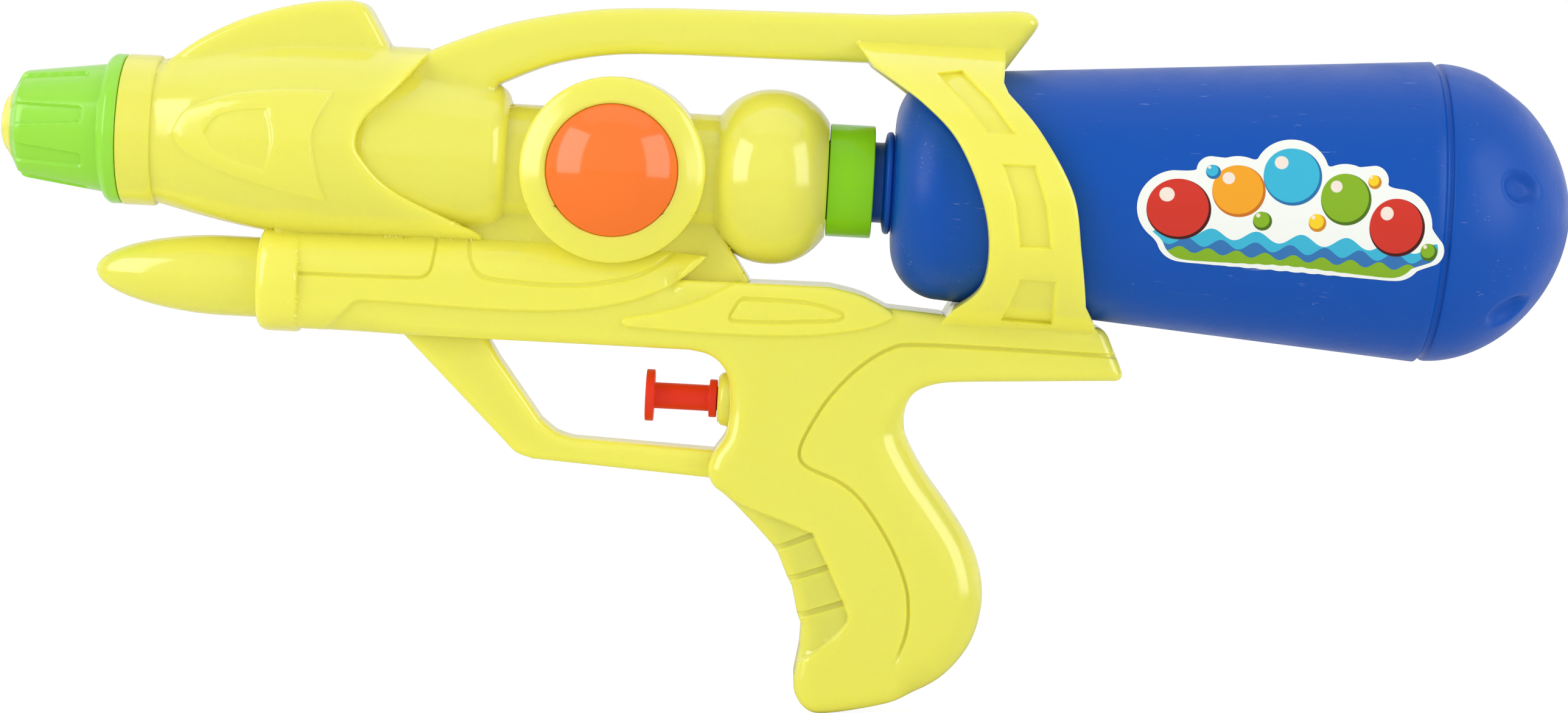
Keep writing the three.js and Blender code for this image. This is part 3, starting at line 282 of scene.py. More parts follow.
def moved(line, depth, closed=True):
    """A chain moved sideways along its normals, inwards on a closed one."""
    if closed:
        tangent = np.roll(line, -1, 0) - np.roll(line, 1, 0)
    else:
        tangent = np.gradient(line, axis=0)
    tangent /= np.linalg.norm(tangent, axis=1)[:, None]
    normal = np.stack([-tangent[:, 1], tangent[:, 0]], 1)
    after = np.roll(line, -1, 0)
    turn = np.sign((line[:, 0] * after[:, 1] - after[:, 0] * line[:, 1]).sum()) if closed else 1
    return line + depth * turn * normal


def ease(share):
    """0 to 1 with level ends: 3s^2 - 2s^3."""
    share = np.clip(share, 0, 1)
    return share * share * (3 - 2 * share)


def edge_drop(depth, edge):
    """How far a rounded edge lies below its face, at a depth in from the edge: e - sqrt(e^2 - (e - d)^2)."""
    inside = np.clip(edge - depth, 0, edge)
    return edge - np.sqrt(np.maximum(edge**2 - inside**2, 0))


# Side-view outlines of the shells

SKIRT = outline(
    [[20, 42]], [[20, -42]], [[125.2, -42]],
    [[125.2, -21.4], [124.7, -19.4], [122.8, -17.6], [117, -15.1], [102, -7.8], [94.6, -0.4], [93, 4.2],
     [95.2, 10], [102, 17.4], [109, 26.5]],
    [[109, 42]])
FIN = outline(
    [[40, 8]], [[40, 18.5], [50, 26.5], [60, 32.1], [70, 35.8], [80, 38.1], [88.6, 38.9]],
    [[88.6, 38.9], [91.6, 38.2], [93.4, 36.4]], [[99.6, 26]], [[99.6, 8]])
HANDLE = outline(
    [[98, 12]], [[98, 22.5], [106, 25.8], [115, 30], [130, 35.6], [150, 39.8], [170, 41.3]],
    [[225, 42.6], [240, 43.9], [256, 45.2]], [[256, 45.2], [260, 44.8], [262.2, 42.6], [261.2, 40]],
    [[254.6, 30.4]], [[219, 30.2]], [[172, 29.7], [155, 28.8], [140, 25.6], [127, 20]], [[122, 12]])
BODY = outline(
    [[69.6, -20.6]], [[124, -19.4], [150, -19.7], [173, -20.2], [181.8, -20.7]],
    [[178.5, -24.2], [175.4, -27]],
    [[213, -26.6], [221, -28.2], [228, -31.2]],
    [[243, -32.2]], [[280, -33.2], [282.6, -33.8], [284.2, -35.6]],
    [[287.4, -42.4], [288.3, -45], [287.3, -46.5], [284.4, -46.8]],
    [[250, -48.9], [242.5, -49.7], [237, -51.8], [234.5, -55], [233.8, -60], [235.2, -65], [240, -73],
     [247, -82], [253, -91], [256, -100], [256.2, -108], [253.5, -117], [247, -125.2], [238, -130.4],
     [228, -133.5], [217, -135.5], [212.6, -134.4], [209.9, -130.8], [209.3, -127]],
    [[210.4, -119], [210.5, -113]], [[209.4, -110.6], [207.6, -103.4]], [[206.4, -101.4], [203.6, -95.2]],
    [[202, -93], [197, -88], [190, -81.5], [186.2, -78.6], [184.7, -74.5], [186, -70.3], [188.6, -66],
     [189.4, -60], [189, -53], [187.2, -48.4], [183.5, -45.6], [178.5, -44.6]],
    [[69.6, -44.7]])
GUARD = outline(
    [[101.6, -41]], [[132.5, -70.6], [135.6, -73.4], [140, -74.8]], [[192, -77.6]], [[192, -70.3]],
    [[150, -68.9], [145.6, -67.6], [141.5, -64.6]], [[130, -49.5]], [[124.6, -41]])
WEB = outline([[72, -6]], [[180, -8]], [[194.6, -29]], [[194.6, -38]], [[72, -38]])
HOOP = outline(
    [[214, 38]], [[221, 29.2], [233.9, 20.5], [243.4, 10.4], [250.6, -7], [251, -22.7], [244.1, -30.5]],
    [[239, -38]], [[283.6, -38]],
    [[277.1, -27.8], [274.4, -13.8], [271.3, 0.8], [262.8, 15.2], [254.6, 24.4]], [[253.4, 27]],
    [[254.6, 38]])

# Raised and recessed panels and grooves
PLATE = outline(
    [[60, -10]], [[60, -52]], [[86.2, -52]], [[86.2, -44.4]], [[92.6, -37.5], [93.8, -36.6], [95.6, -36.3]],
    [[102.8, -36.3], [115, -36.6], [130, -36.8], [142, -36.4], [152.7, -35.3], [163.1, -32.7], [168.3, -30.7],
     [173.4, -28], [178.5, -24.2], [182.6, -20]], [[186, -10]])
BIRD = outline(
    [[161.3, -38.2], [162.0, -37.3], [165.9, -36.5], [171.2, -35.2], [176.3, -33.6], [181.5, -31.5],
     [186.1, -28.9], [189.4, -26.8]], [[193, -22]], [[214, -22]],
    [[215.6, -26], [223, -28.2], [228.6, -31.8], [229.1, -33.2], [228.2, -34.2], [222.3, -36.7],
     [210.1, -38.9], [197.9, -39.7], [184.6, -39.9], [174, -39.7], [165, -39.4], [162.2, -39.2],
     [161.3, -38.2]])
BIRD_GROOVE = spline(
    [[190.2, -31.6], [191.2, -30.8], [192.6, -30.7], [200, -30.7], [207.2, -30.9], [212, -31.7], [216, -32.9],
     [216.9, -33.7], [216.2, -34.6], [213.6, -35.2], [205, -35.9], [197.7, -36.4], [190, -36.5],
     [188.6, -36.2], [188.3, -35.3], [189.2, -33.4], [190.2, -31.6]])
CORNER_GROOVE = spline(
    [[78.6, -30.4], [94, -30.2], [107, -30], [110.4, -29.6], [112.2, -28], [112.9, -25], [113.3, -21],
     [113.4, -17]])
SWOOSH_GROOVE = spline(
    [[121.6, -18], [121.9, -22.3], [122.6, -25.2], [124.4, -28], [127.6, -29.2], [138, -29.9], [147, -29.8],
     [152.3, -29.3], [160.2, -27.7], [165.4, -25.8], [170.5, -22.6], [174, -19.6]])
SWEEP_GROOVE = spline(
    [[292, -40.4], [286, -40.3], [259, -40], [236, -40.1], [229, -41.5], [221.6, -46.6], [214.7, -54.3],
     [210.2, -61.9], [207.9, -67.4], [208, -70.6], [210.4, -72.8], [217.6, -75.6], [222.7, -79],
     [227.3, -84.3], [232, -91.4], [235.5, -98.6], [237.2, -104.6], [237.4, -112], [235.9, -118.2],
     [233.8, -123]])
FINGERS = outline(
    [[190, -81.8]], [[195.4, -83.7], [204.1, -86.4], [212.3, -89.4]],
    [[216.4, -97.2], [220.5, -105.5], [222.4, -109.8]],
    [[222.2, -111.6], [219.2, -115.4], [214.5, -119.6], [210.6, -122]], [[196, -126]], [[184, -100]])
FINGER_GROOVES = [
    spline([[199.4, -95.6], [202.7, -94], [212.6, -89.6]]),
    spline([[203.2, -103], [206.5, -101.6], [217.3, -97.5]]),
    spline([[206, -112.2], [209.4, -110.8], [221.5, -106.5]]),
]
WINDOWS = [
    outline([[236.9, 28.4]], [[242.9, 29.3]], [[250.2, 22.4], [256.4, 14.6]], [[249.4, 14.6]],
            [[243.4, 21.8]]),
    outline([[253.6, 6.9]], [[261.6, 6.9]], [[265.2, -3], [266.9, -13.2]], [[259, -13.2]], [[257, -2.4]]),
    outline([[259.9, -21.5]], [[268.9, -21.5]], [[269.2, -32.8]], [[256.6, -32.4]]),
]
TORPEDO = outline(
    [[47, 3.9], [49.6, 8.6], [55, 11.6], [64, 14.3], [75, 15.6], [86.8, 15.9]],
    [[86.8, 15.9], [82.2, 3.4], [85.8, -11.6]],
    [[85.8, -11.6], [75, -9.6], [64, -6.8], [55, -3.6], [49.6, -0.6], [47, 3.9]])
TORPEDO_NOSE = outline(
    [[55, 3.8], [58, 8], [64, 10], [70.6, 10.6]], [[70.6, 10.6], [72.4, 3], [70.6, -4.4]],
    [[70.6, -4.4], [64, -3], [58, 0], [55, 3.8]])

SCREWS = [(83, 31, "fin_half"), (168, 35.6, "handle_half"), (247, 39, "handle_half"),
          (92, -33.5, "body_half"), (268, -41.3, "body_half"), (226, -80, "body_half"),
          (232, -118, "body_half")]
SCREW_WELL_R = 3.0
SCREW_SEAT = 3.5


def raised(places, line, fade):
    """1 on a panel and 0 off it, with an eased edge."""
    return ease(distance(line, places, True) / fade + 0.5)


def scored(places, line, width):
    """1 on the flat floor of a groove and 0 from half its width away, with steep eased walls."""
    return ease((width / 2 - distance(line, places, False)) / 0.4)


class Slab:
    """A side-view outline across the gun with rounded edges: y = half - drop(d), d in from the outline."""

    def __init__(self, line, half, edge, relief=None, soft=CREASE):
        self.line, self.half, self.edge, self.relief, self.soft = line, half, edge, relief, soft

    def heights(self, places):
        depth = distance(self.line, places, True)
        edge = self.edge(places) if callable(self.edge) else self.edge
        outer = self.half - edge_drop(depth, edge)
        if self.relief:
            outer = outer + self.relief(places)
        wall = mm("wall")
        inner = self.half - wall - edge_drop(depth - wall, np.maximum(edge - wall, 0.4))
        return np.where(depth > -TOUCH, outer, NOWHERE), np.where(depth > wall, inner, NOWHERE)

    def lines(self):
        depths = EDGE_DEPTHS
        if not callable(self.edge):
            depths = self.edge * (1 - np.cos(np.radians(EDGE_LEANS)))
        yield self.line, True
        yield moved(self.line, -TWIN), False
        for depth in depths:
            layer = moved(self.line, depth)
            yield layer[distance(self.line, layer, True) > depth - FOLD], False


class Turned:
    """A profile turned about the gun's length: y = w (r(x)^p - |z - z0|^p)^(1/p).

    It is round with p = 2 and w = 1.
    """
    soft = CREASE

    def __init__(self, profile, z0, trim=None, power=2.0, wide=1.0):
        self.x, self.r = np.array(profile, float).T
        self.z0, self.trim, self.power, self.wide = z0, trim, power, wide

    def heights(self, places):
        x, z = places[:, 0], places[:, 1] - self.z0
        radius = np.interp(x, self.x, self.r)
        depth = np.full(len(places), FAR)
        if self.trim is not None:
            depth = distance(self.trim, places, True)
            radius = radius - edge_drop(depth, 1.0)
        along = (x > self.x[0] - TOUCH) & (x < self.x[-1] + TOUCH) & (depth > -TOUCH)
        outer = self.wide * np.maximum(radius**self.power - np.abs(z)**self.power, 0) ** (1 / self.power)
        wall = mm("wall")
        hollow = np.maximum(radius - wall, 0)
        inner = np.sqrt(np.maximum(hollow**2 - z**2, 0))
        within = along & (x > self.x[0] + wall) & (x < self.x[-1] - wall) & (depth > wall)
        return (np.where(along & (np.abs(z) < radius + TOUCH), outer, NOWHERE),
                np.where(within & (np.abs(z) < hollow), inner, NOWHERE))

    def lines(self):
        first, last = self.x[0], self.x[-1]
        x = np.unique(np.concatenate([np.arange(first, last, 1.0), self.x]))
        radius = np.interp(x, self.x, self.r)
        for lean in (90, 87, 82, 76, 69, 61, 52, 42):
            for side in (1, -1):
                yield np.stack([x, self.z0 + side * radius * math.sin(math.radians(lean))], 1), lean == 90
        for side in (1, -1):
            yield np.stack([x, self.z0 + side * (radius + TWIN)], 1), False
        steep = np.abs(np.diff(self.r)) > 0.5 * np.abs(np.diff(self.x))
        for step in np.unique(np.concatenate([self.x[:-1][steep], self.x[1:][steep]]))[1:-1]:
            reach = np.interp(step, self.x, self.r) * 0.97
            z = np.linspace(-reach, reach, 2 * int(reach) + 3)
            yield np.stack([np.full(len(z), step), self.z0 + z], 1), True
        for end, off in ((first, -TWIN), (last, TWIN)):
            reach = np.interp(end, self.x, self.r)
            z = self.z0 + reach * np.sin(np.radians(np.linspace(-90, 90, 2 * int(reach) + 3)))
            yield np.stack([np.full(len(z), end), z], 1), True
            yield np.stack([np.full(len(z), end + off), z], 1), False
        if self.trim is not None:
            for depth in (0, -TWIN, 0.1, 0.35, 0.7, 1.0):
                yield moved(self.trim, depth), depth == 0


class Boss:
    """The round boss: y = h(rho), with rho the distance from its middle."""
    soft = CREASE

    def __init__(self):
        outer, half = mm("boss_r"), mm("boss_half")
        self.pocket = mm("dome_r") + 0.08
        self.floor = half - 1.9
        self.rho = np.array([0, self.pocket, self.pocket + TWIN, 16.75, 16.95, 17.2, 17.5, 18.0, 18.8,
                             outer - 0.9, outer - 0.45, outer - 0.15, outer])
        self.y = half - np.array([1.9, 1.9, 0.4, 0.2, 0.09, 0.03, 0.05, 0.18, 0.5, 1.95, 2.25, 2.7, 3.6])

    def heights(self, places):
        rho = np.hypot(places[:, 0] - BOSS_X, places[:, 1])
        outer = np.interp(rho, self.rho, self.y)
        wall = mm("wall")
        inner = np.full(len(places), self.floor - wall)
        return (np.where(rho < self.rho[-1] + TOUCH, outer, NOWHERE),
                np.where(rho < self.rho[-1] - wall, inner, NOWHERE))

    def lines(self):
        turn = np.linspace(0, 2 * math.pi, 161)[:-1]
        circle = np.stack([np.cos(turn), np.sin(turn)], 1)
        for rho in (*self.rho[1:], self.rho[-1] + TWIN, 20.4, 21.4):
            yield np.array([BOSS_X, 0]) + rho * circle, rho == self.rho[-1]


def tank_reach(x):
    """The tank's radius along its tapering wall."""
    start, end = TANK_FRONT_X + SHOULDER, SEAM_X - 1.5
    return SHOULDER_R + (mm("tank_r") - SHOULDER_R) * (np.maximum(x, start) - start) / (end - start)


class Hoop:
    """The band round the tank: y = sqrt(R^2 - z^2), less its windows, inside its side-view outline."""
    soft = CREASE

    def heights(self, places):
        depth = distance(HOOP, places, True)
        radius = mm("hoop_r") - edge_drop(depth, 0.9)
        sunk = np.max([raised(places, line, 0.7) for line in WINDOWS], axis=0)
        radius = radius - mm("window") * sunk
        z = places[:, 1]
        on = (depth > -TOUCH) & (np.abs(z) < radius)
        clear = tank_reach(places[:, 0]) + 1.2
        inner = np.sqrt(np.maximum(clear**2 - z**2, 0))
        return np.where(on, np.sqrt(np.maximum(radius**2 - z**2, 0)), NOWHERE), np.where(on, inner, NOWHERE)

    def lines(self):
        for depth in (0, -TWIN, 0.08, 0.3, 0.6, 0.9):
            yield moved(HOOP, depth), depth == 0
        for line in WINDOWS:
            for depth in (-0.35, -0.12, 0.12, 0.35):
                yield moved(line, depth), True
        for x in np.arange(214, 284, 1.0):
            lean = np.radians([60, 66, 72, 77, 82, 86])
            for side in (1, -1):
                yield np.stack([np.full(6, x), side * mm("hoop_r") * np.sin(lean)], 1), False


def body_edge(places):
    """The body's edge rounding.

    It is wide where the rail is a tube, small behind it, and wider again on the back of the grip.
    """
    x, z = places.T
    top = mm("rail_edge") + 6.3 * ease((186 - x) / 16)
    top += (mm("rail_edge") - top) * ease((3.2 - (z + 27 - (x - 175.4))) / 2.4) * ease((x - 173) / 4)
    low = 3.2 + 4.3 * ease((112 - x) / 24)
    rail = low + (top - low) * ease((z + 37) / 8)
    front = rail + (mm("body_edge") - rail) * ease((-46 - z) / 8)
    middle = 211 + (-55 - z) * 21 / 65
    back = ease((x - middle + 2) / 8) * ease((-52 - z) / 14)
    return front + (mm("grip_edge") - front) * back


# Grooves of the rail and grip: line, width and depth
GROOVES = [(SWEEP_GROOVE, 1.35, 0.9), (BIRD_GROOVE, 1.4, 0.7), (CORNER_GROOVE, 1.3, 0.8),
           (SWOOSH_GROOVE, 1.5, 0.6)]


def body_relief(places):
    """Raised plate and bird panel, grooves and the recessed finger panel of the rail and grip."""
    up = np.maximum(raised(places, PLATE, 0.7), raised(places, BIRD, 0.7))
    fingers = raised(places, FINGERS, 0.8)
    cut = np.max([scored(places, line, 1.9) for line in FINGER_GROOVES], axis=0)
    end = ease(np.linalg.norm(places - SWEEP_GROOVE[-1], axis=1) / 8)
    cuts = np.max([depth * scored(places, line, width) for line, width, depth in GROOVES], axis=0)
    return mm("relief") * up - cuts * end - 1.1 * fingers - 0.7 * cut * fingers


def relief_lines():
    """Chains along the edges of panels and grooves, where the mesh needs points."""
    for line, fade in ((PLATE, 0.7), (BIRD, 0.7), (FINGERS, 0.8), (TORPEDO, 0.6), (TORPEDO_NOSE, 0.6)):
        for share in (-0.5, -0.17, 0.17, 0.5):
            yield moved(line, share * fade), True
    for line, width in (*((line, width) for line, width, _ in GROOVES),
                        *((cut, 1.9) for cut in FINGER_GROOVES)):
        for away in (width / 2, width / 2 - 0.13, width / 2 - 0.27, width / 2 - 0.4):
            for side in (-1, 1):
                yield moved(line, side * away, False), True
    turn = np.linspace(0, 2 * math.pi, 25)[:-1]
    for x, z, _ in SCREWS:
        for radius in (SCREW_WELL_R, SCREW_WELL_R - TWIN, SCREW_WELL_R / 2):
            yield np.stack([x + radius * np.cos(turn), z + radius * np.sin(turn)], 1), False


def quarter(steps=14):
    """Turns from 0 to a quarter circle."""
    return np.linspace(0, math.pi / 2, steps)


def shell_forms():
    """The forms that make up the outside of the shells."""
    t = quarter()
    swell = [[41 + 41 * 2 * a / math.pi, 18.2 + (mm("barrel_r") - 18.2) * math.sin(a)] for a in t]
    barrel = [[32.3, 18.5], [32.45, 18.85], [32.8, 19.1], [40.2, 19.1], [40.6, 18.98], [40.85, 18.7],
              [40.95, 18.35], *swell, [126, mm("barrel_r")]]
    cone = [[89, 20], [95.5, 22.4], [126.2, 18.5], [127.4, 18.1], [128.6, 17.2], [129.5, 16], [130, 14.6]]
    nose = [[ROCKET_X + 32 * u * u, mm("rocket_r") * math.sqrt(1 - (1 - u * u) ** 1.75)]
            for u in np.linspace(0, 1, 24)]
    clamp_r = mm("clamp_r")
    clamp = [[68.5, clamp_r - 1.9], [68.6, clamp_r - 1.4], [69.1, clamp_r - 0.7], [70, clamp_r - 0.15],
             [71, clamp_r], [77.9, clamp_r], [78.5, clamp_r - 0.2], [78.9, clamp_r - 0.8]]
    ends = math.acos(BULB_FRONT / BULB_HALF), math.pi - math.acos(BULB_BACK / BULB_HALF)
    bulb_x = BULB_X - BULB_HALF * np.cos(np.linspace(*ends, 40))
    bulb_r = mm("bulb_r") * (1 - (np.abs(bulb_x - BULB_X) / BULB_HALF) ** BULB_POWER) ** (1 / BULB_POWER)
    spigot = [[11.3, 10.7], [12.7, 10.7], [12.8, 9.8], [36, 9.8]]
    return [
        Turned(barrel, BARREL_Z, SKIRT),
        Turned(cone, CONE_Z),
        Slab(FIN, mm("fin_half"), 2.4, soft=4),
        Slab(HANDLE, mm("handle_half"), mm("handle_edge"), soft=3),
        Turned([[106, mm("tube_r")], [BULB_X, mm("tube_r")]], 0),
        Boss(),
        Turned(np.stack([bulb_x, bulb_r], 1), 0),
        Slab(WEB, mm("web_half"), 1),
        Slab(BODY, mm("body_half"), body_edge, body_relief, soft=2.5),
        Slab(GUARD, mm("guard_half"), 2),
        Turned([*nose, [83, mm("rocket_r")]], ROCKET_Z),
        Turned(clamp, ROCKET_Z, power=2.5, wide=1.13),
        Hoop(),
        Turned(spigot, BARREL_Z),
    ]


# Round ways through the shells: start, end, height and radius
WAYS = [(160, 212.5, PUMP_Z, 7.45), (205.5, 212, 0, 10.3), (10, 24, BARREL_Z, 6.7)]


def passages(places):
    """How far the round ways for the pump, the collar and the nozzle tip reach across the gun."""
    x, z = places.T
    reach = np.full(len(places), NOWHERE)
    for start, end, z0, radius in WAYS:
        on = (x > start) & (x < end) & (np.abs(z - z0) < radius)
        reach = np.where(on, np.maximum(reach, np.sqrt(np.maximum(radius**2 - (z - z0)**2, 0))), reach)
    return reach


def shell_heights(places, forms):
    """Outside and inside heights of a half shell over the mid-plane, and where there is any.

    The outside is the outermost form, filleted where two are close: a + (k - (a - b))^2 / 4k for a - b < k.
    """
    outers, inners = (np.array(side) for side in zip(*(form.heights(places) for form in forms)))
    order = np.argsort(outers, axis=0)[-2:]
    second, first = np.take_along_axis(outers, order, 0)
    soft = np.array([form.soft for form in forms])[order].max(0)
    outer = first + np.maximum(soft - (first - second), 0)**2 / (4 * soft)
    inner = inners.max(0)
    lift = 0.6 * raised(places, TORPEDO, 0.6) - 0.4 * raised(places, TORPEDO_NOSE, 0.6)
    inside = first > NOWHERE / 2
    outer = np.where(inside & (np.abs(places[:, 1] - BARREL_Z) < 18), outer + lift, outer)
    outer = np.maximum(outer, HALF_GAP)
    inner = np.maximum(inner, passages(places))
    return outer, np.minimum(np.clip(inner, HALF_GAP, None), np.maximum(outer - THIN, HALF_GAP)), inside


def creases(forms, grid):
    """Points on and beside the lines where one form passes another, found between neighbours of a grid."""
    tops = np.array([form.heights(grid.reshape(-1, 2))[0] for form in forms]).reshape(-1, *grid.shape[:2])
    top = tops.argmax(0)
    every, fore, aft = slice(None), slice(-1), slice(1, None)

    def height(which, side):
        return np.take_along_axis(tops[(every, *side)], which[None], 0)[0]

    for near, far in (((every, fore), (every, aft)), ((fore, every), (aft, every))):
        one, other = top[near], top[far]
        before = height(one, near) - height(other, near)
        after = height(other, far) - height(one, far)
        meet = (one != other) & (height(other, near) > NOWHERE / 2) & (height(one, far) > NOWHERE / 2)
        start, run = grid[near][meet], (grid[far] - grid[near])[meet]
        share = before[meet] / np.maximum(before + after, 1e-9)[meet]
        for shift in (-0.5, 0, 0.5):
            yield start + (share + shift)[:, None] * run


def shell_mesh(forms):
    """Points in the side view, triangles and boundary edges that follow the shells' edges and relief."""
    firm, links, loose = [], [], []
    count = 0
    for form in forms:
        for line, linked in form.lines():
            own = form.heights(line)[0]
            everything = shell_heights(line, forms)[0]
            shown = everything < np.where(own > NOWHERE / 2, own, everything) + COVER
            if not linked:
                loose.append(line[shown])
                continue
            number = np.where(shown, np.cumsum(shown) - 1 + count, -1)
            pairs = np.stack([number, np.roll(number, -1)], 1)
            closed = np.linalg.norm(line[0] - line[-1]) < 2 * STEP
            pairs = pairs if closed else pairs[:-1]
            links.append(pairs[(pairs >= 0).all(1)])
            firm.append(line[shown])
            count += shown.sum()
    for line, linked in relief_lines():
        number = np.arange(len(line)) + count
        links.append(np.stack([number[:-1], number[1:]], 1)[:len(line) * linked])
        firm.append(line)
        count += len(line)
    firm, loose = np.vstack(firm), np.vstack(loose)
    low, high = firm.min(0) - 2, firm.max(0) + 2
    grid = np.stack(np.meshgrid(np.arange(low[0], high[0], GRID), np.arange(low[1], high[1], GRID)), -1)
    grid[1::2, :, 0] += GRID / 2
    loose = np.vstack([loose, *creases(forms, grid)])
    grid = grid.reshape(-1, 2)
    cell = GRID * 0.55
    taken = np.zeros(np.ceil((high - low) / cell).astype(int) + 4, bool)
    spots = ((np.vstack([firm, loose]) - low) / cell).astype(int) + 1
    spots = spots[((spots > 0) & (spots < np.array(taken.shape) - 1)).all(1)]
    for i in (-1, 0, 1):
        for j in (-1, 0, 1):
            taken[spots[:, 0] + i, spots[:, 1] + j] = True
    at = ((grid - low) / cell).astype(int) + 1
    grid = grid[~taken[at[:, 0], at[:, 1]]]
    grid = grid[shell_heights(grid, forms)[2]]
    places = np.vstack([firm, loose, grid])
    flat = [Vector(p) for p in places.tolist()]
    found = delaunay_2d_cdt(flat, np.vstack(links).tolist(), [], 0, 1e-5, False)
    places = np.array([p[:] for p in found[0]])
    faces = np.array(found[2])
    middle = places[faces].mean(1)
    faces = faces[shell_heights(middle, forms)[2]]
    directed = np.vstack([faces[:, [0, 1]], faces[:, [1, 2]], faces[:, [2, 0]]])
    _, first, times = np.unique(np.sort(directed, 1), axis=0, return_index=True, return_counts=True)
    return places, faces, directed[first[times == 1]]


# Meshes and pieces

def turned(profile, sides, along="x", at=(0, 0, 0), warp=None):
    """Points and quads of a closed profile of (s, r) turned about an axis.

    s runs along the axis, r cos t and r sin t across it. warp(s, r, t) moves s and r of every grid point.
    """
    profile = np.asarray(profile, float)
    s, t = np.meshgrid(profile[:, 0], np.arange(sides) * 2 * math.pi / sides, indexing="ij")
    r = np.repeat(profile[:, 1:], sides, 1)
    if warp:
        s, r = warp(s, r, t)
    across = (r * np.cos(t), r * np.sin(t))
    order = {"x": (s, *across), "y": (across[0], s, across[1])}[along]
    points = np.stack(order, -1).reshape(-1, 3) + np.array(at)
    return points, strips(len(profile), sides)


def strips(rows, sides):
    """Quads between rows of points that each close on themselves."""
    start = np.arange(rows - 1)[:, None] * sides
    left = np.arange(sides)
    right = (left + 1) % sides
    after = start + sides
    return np.stack([start + left, start + right, after + right, after + left], -1).reshape(-1, 4)


def filleted(points, radius, steps=4):
    """A profile with its corners rounded: quadratic Bezier curves that start a radius before each corner."""
    points = np.asarray(points, float)
    t = np.linspace(0, 1, steps + 1)[:, None]
    made = [points[:1]]
    for before, corner, after in zip(points, points[1:], points[2:]):
        start, end = before - corner, after - corner
        reach = min(radius, 0.45 * np.linalg.norm(start), 0.45 * np.linalg.norm(end))
        p = corner + start / np.linalg.norm(start) * reach
        q = corner + end / np.linalg.norm(end) * reach
        made.append((1 - t)**2 * p + 2 * t * (1 - t) * corner + t**2 * q)
    return np.vstack(made + [points[-1:]])


def put(name, points, faces, material, body, slot, *nodes, sharp=40):
    """A closed piece from points in the gun's millimetres, riding a body in place of CAD nodes.

    slot is not used.
    """
    mesh = bpy.data.meshes.new(name)
    mesh.from_pydata((np.asarray(points) * MM + ORIGIN).tolist(), [], faces.tolist())
    work = bmesh.new()
    work.from_mesh(mesh)
    bmesh.ops.remove_doubles(work, verts=work.verts, dist=1e-7)
    bmesh.ops.recalc_face_normals(work, faces=work.faces)
    work.to_mesh(mesh)
    work.free()
    mesh.shade_smooth()
    mesh.set_sharp_from_angle(angle=math.radians(sharp))
    mesh.materials.append(material)
    piece = bpy.data.objects.new(name, mesh)
    bpy.context.scene.collection.objects.link(piece)
    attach(piece, body)
    if nodes:
        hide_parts(*nodes)
    return piece


# Materials

def emptied(block):
    """The node tree of a new material or world, with no nodes in it yet."""
    block.use_nodes = True
    block.node_tree.nodes.clear()
    return block.node_tree


def add(tree, kind, settings=None, order=(), **inputs):
    """Adds a node, with links and settings.

    settings are its attributes, order fills its first inputs in turn, and inputs fill its named ones.
    """
    made = tree.nodes.new(kind)
    for key, value in (settings or {}).items():
        setattr(made, key, value)
    named = [(made.inputs[key.replace("_", " ")], value) for key, value in inputs.items()]
    for socket, value in [*zip(made.inputs, order), *named]:
        if isinstance(value, bpy.types.NodeSocket):
            tree.links.new(value, socket)
        else:
            socket.default_value = value
    return made


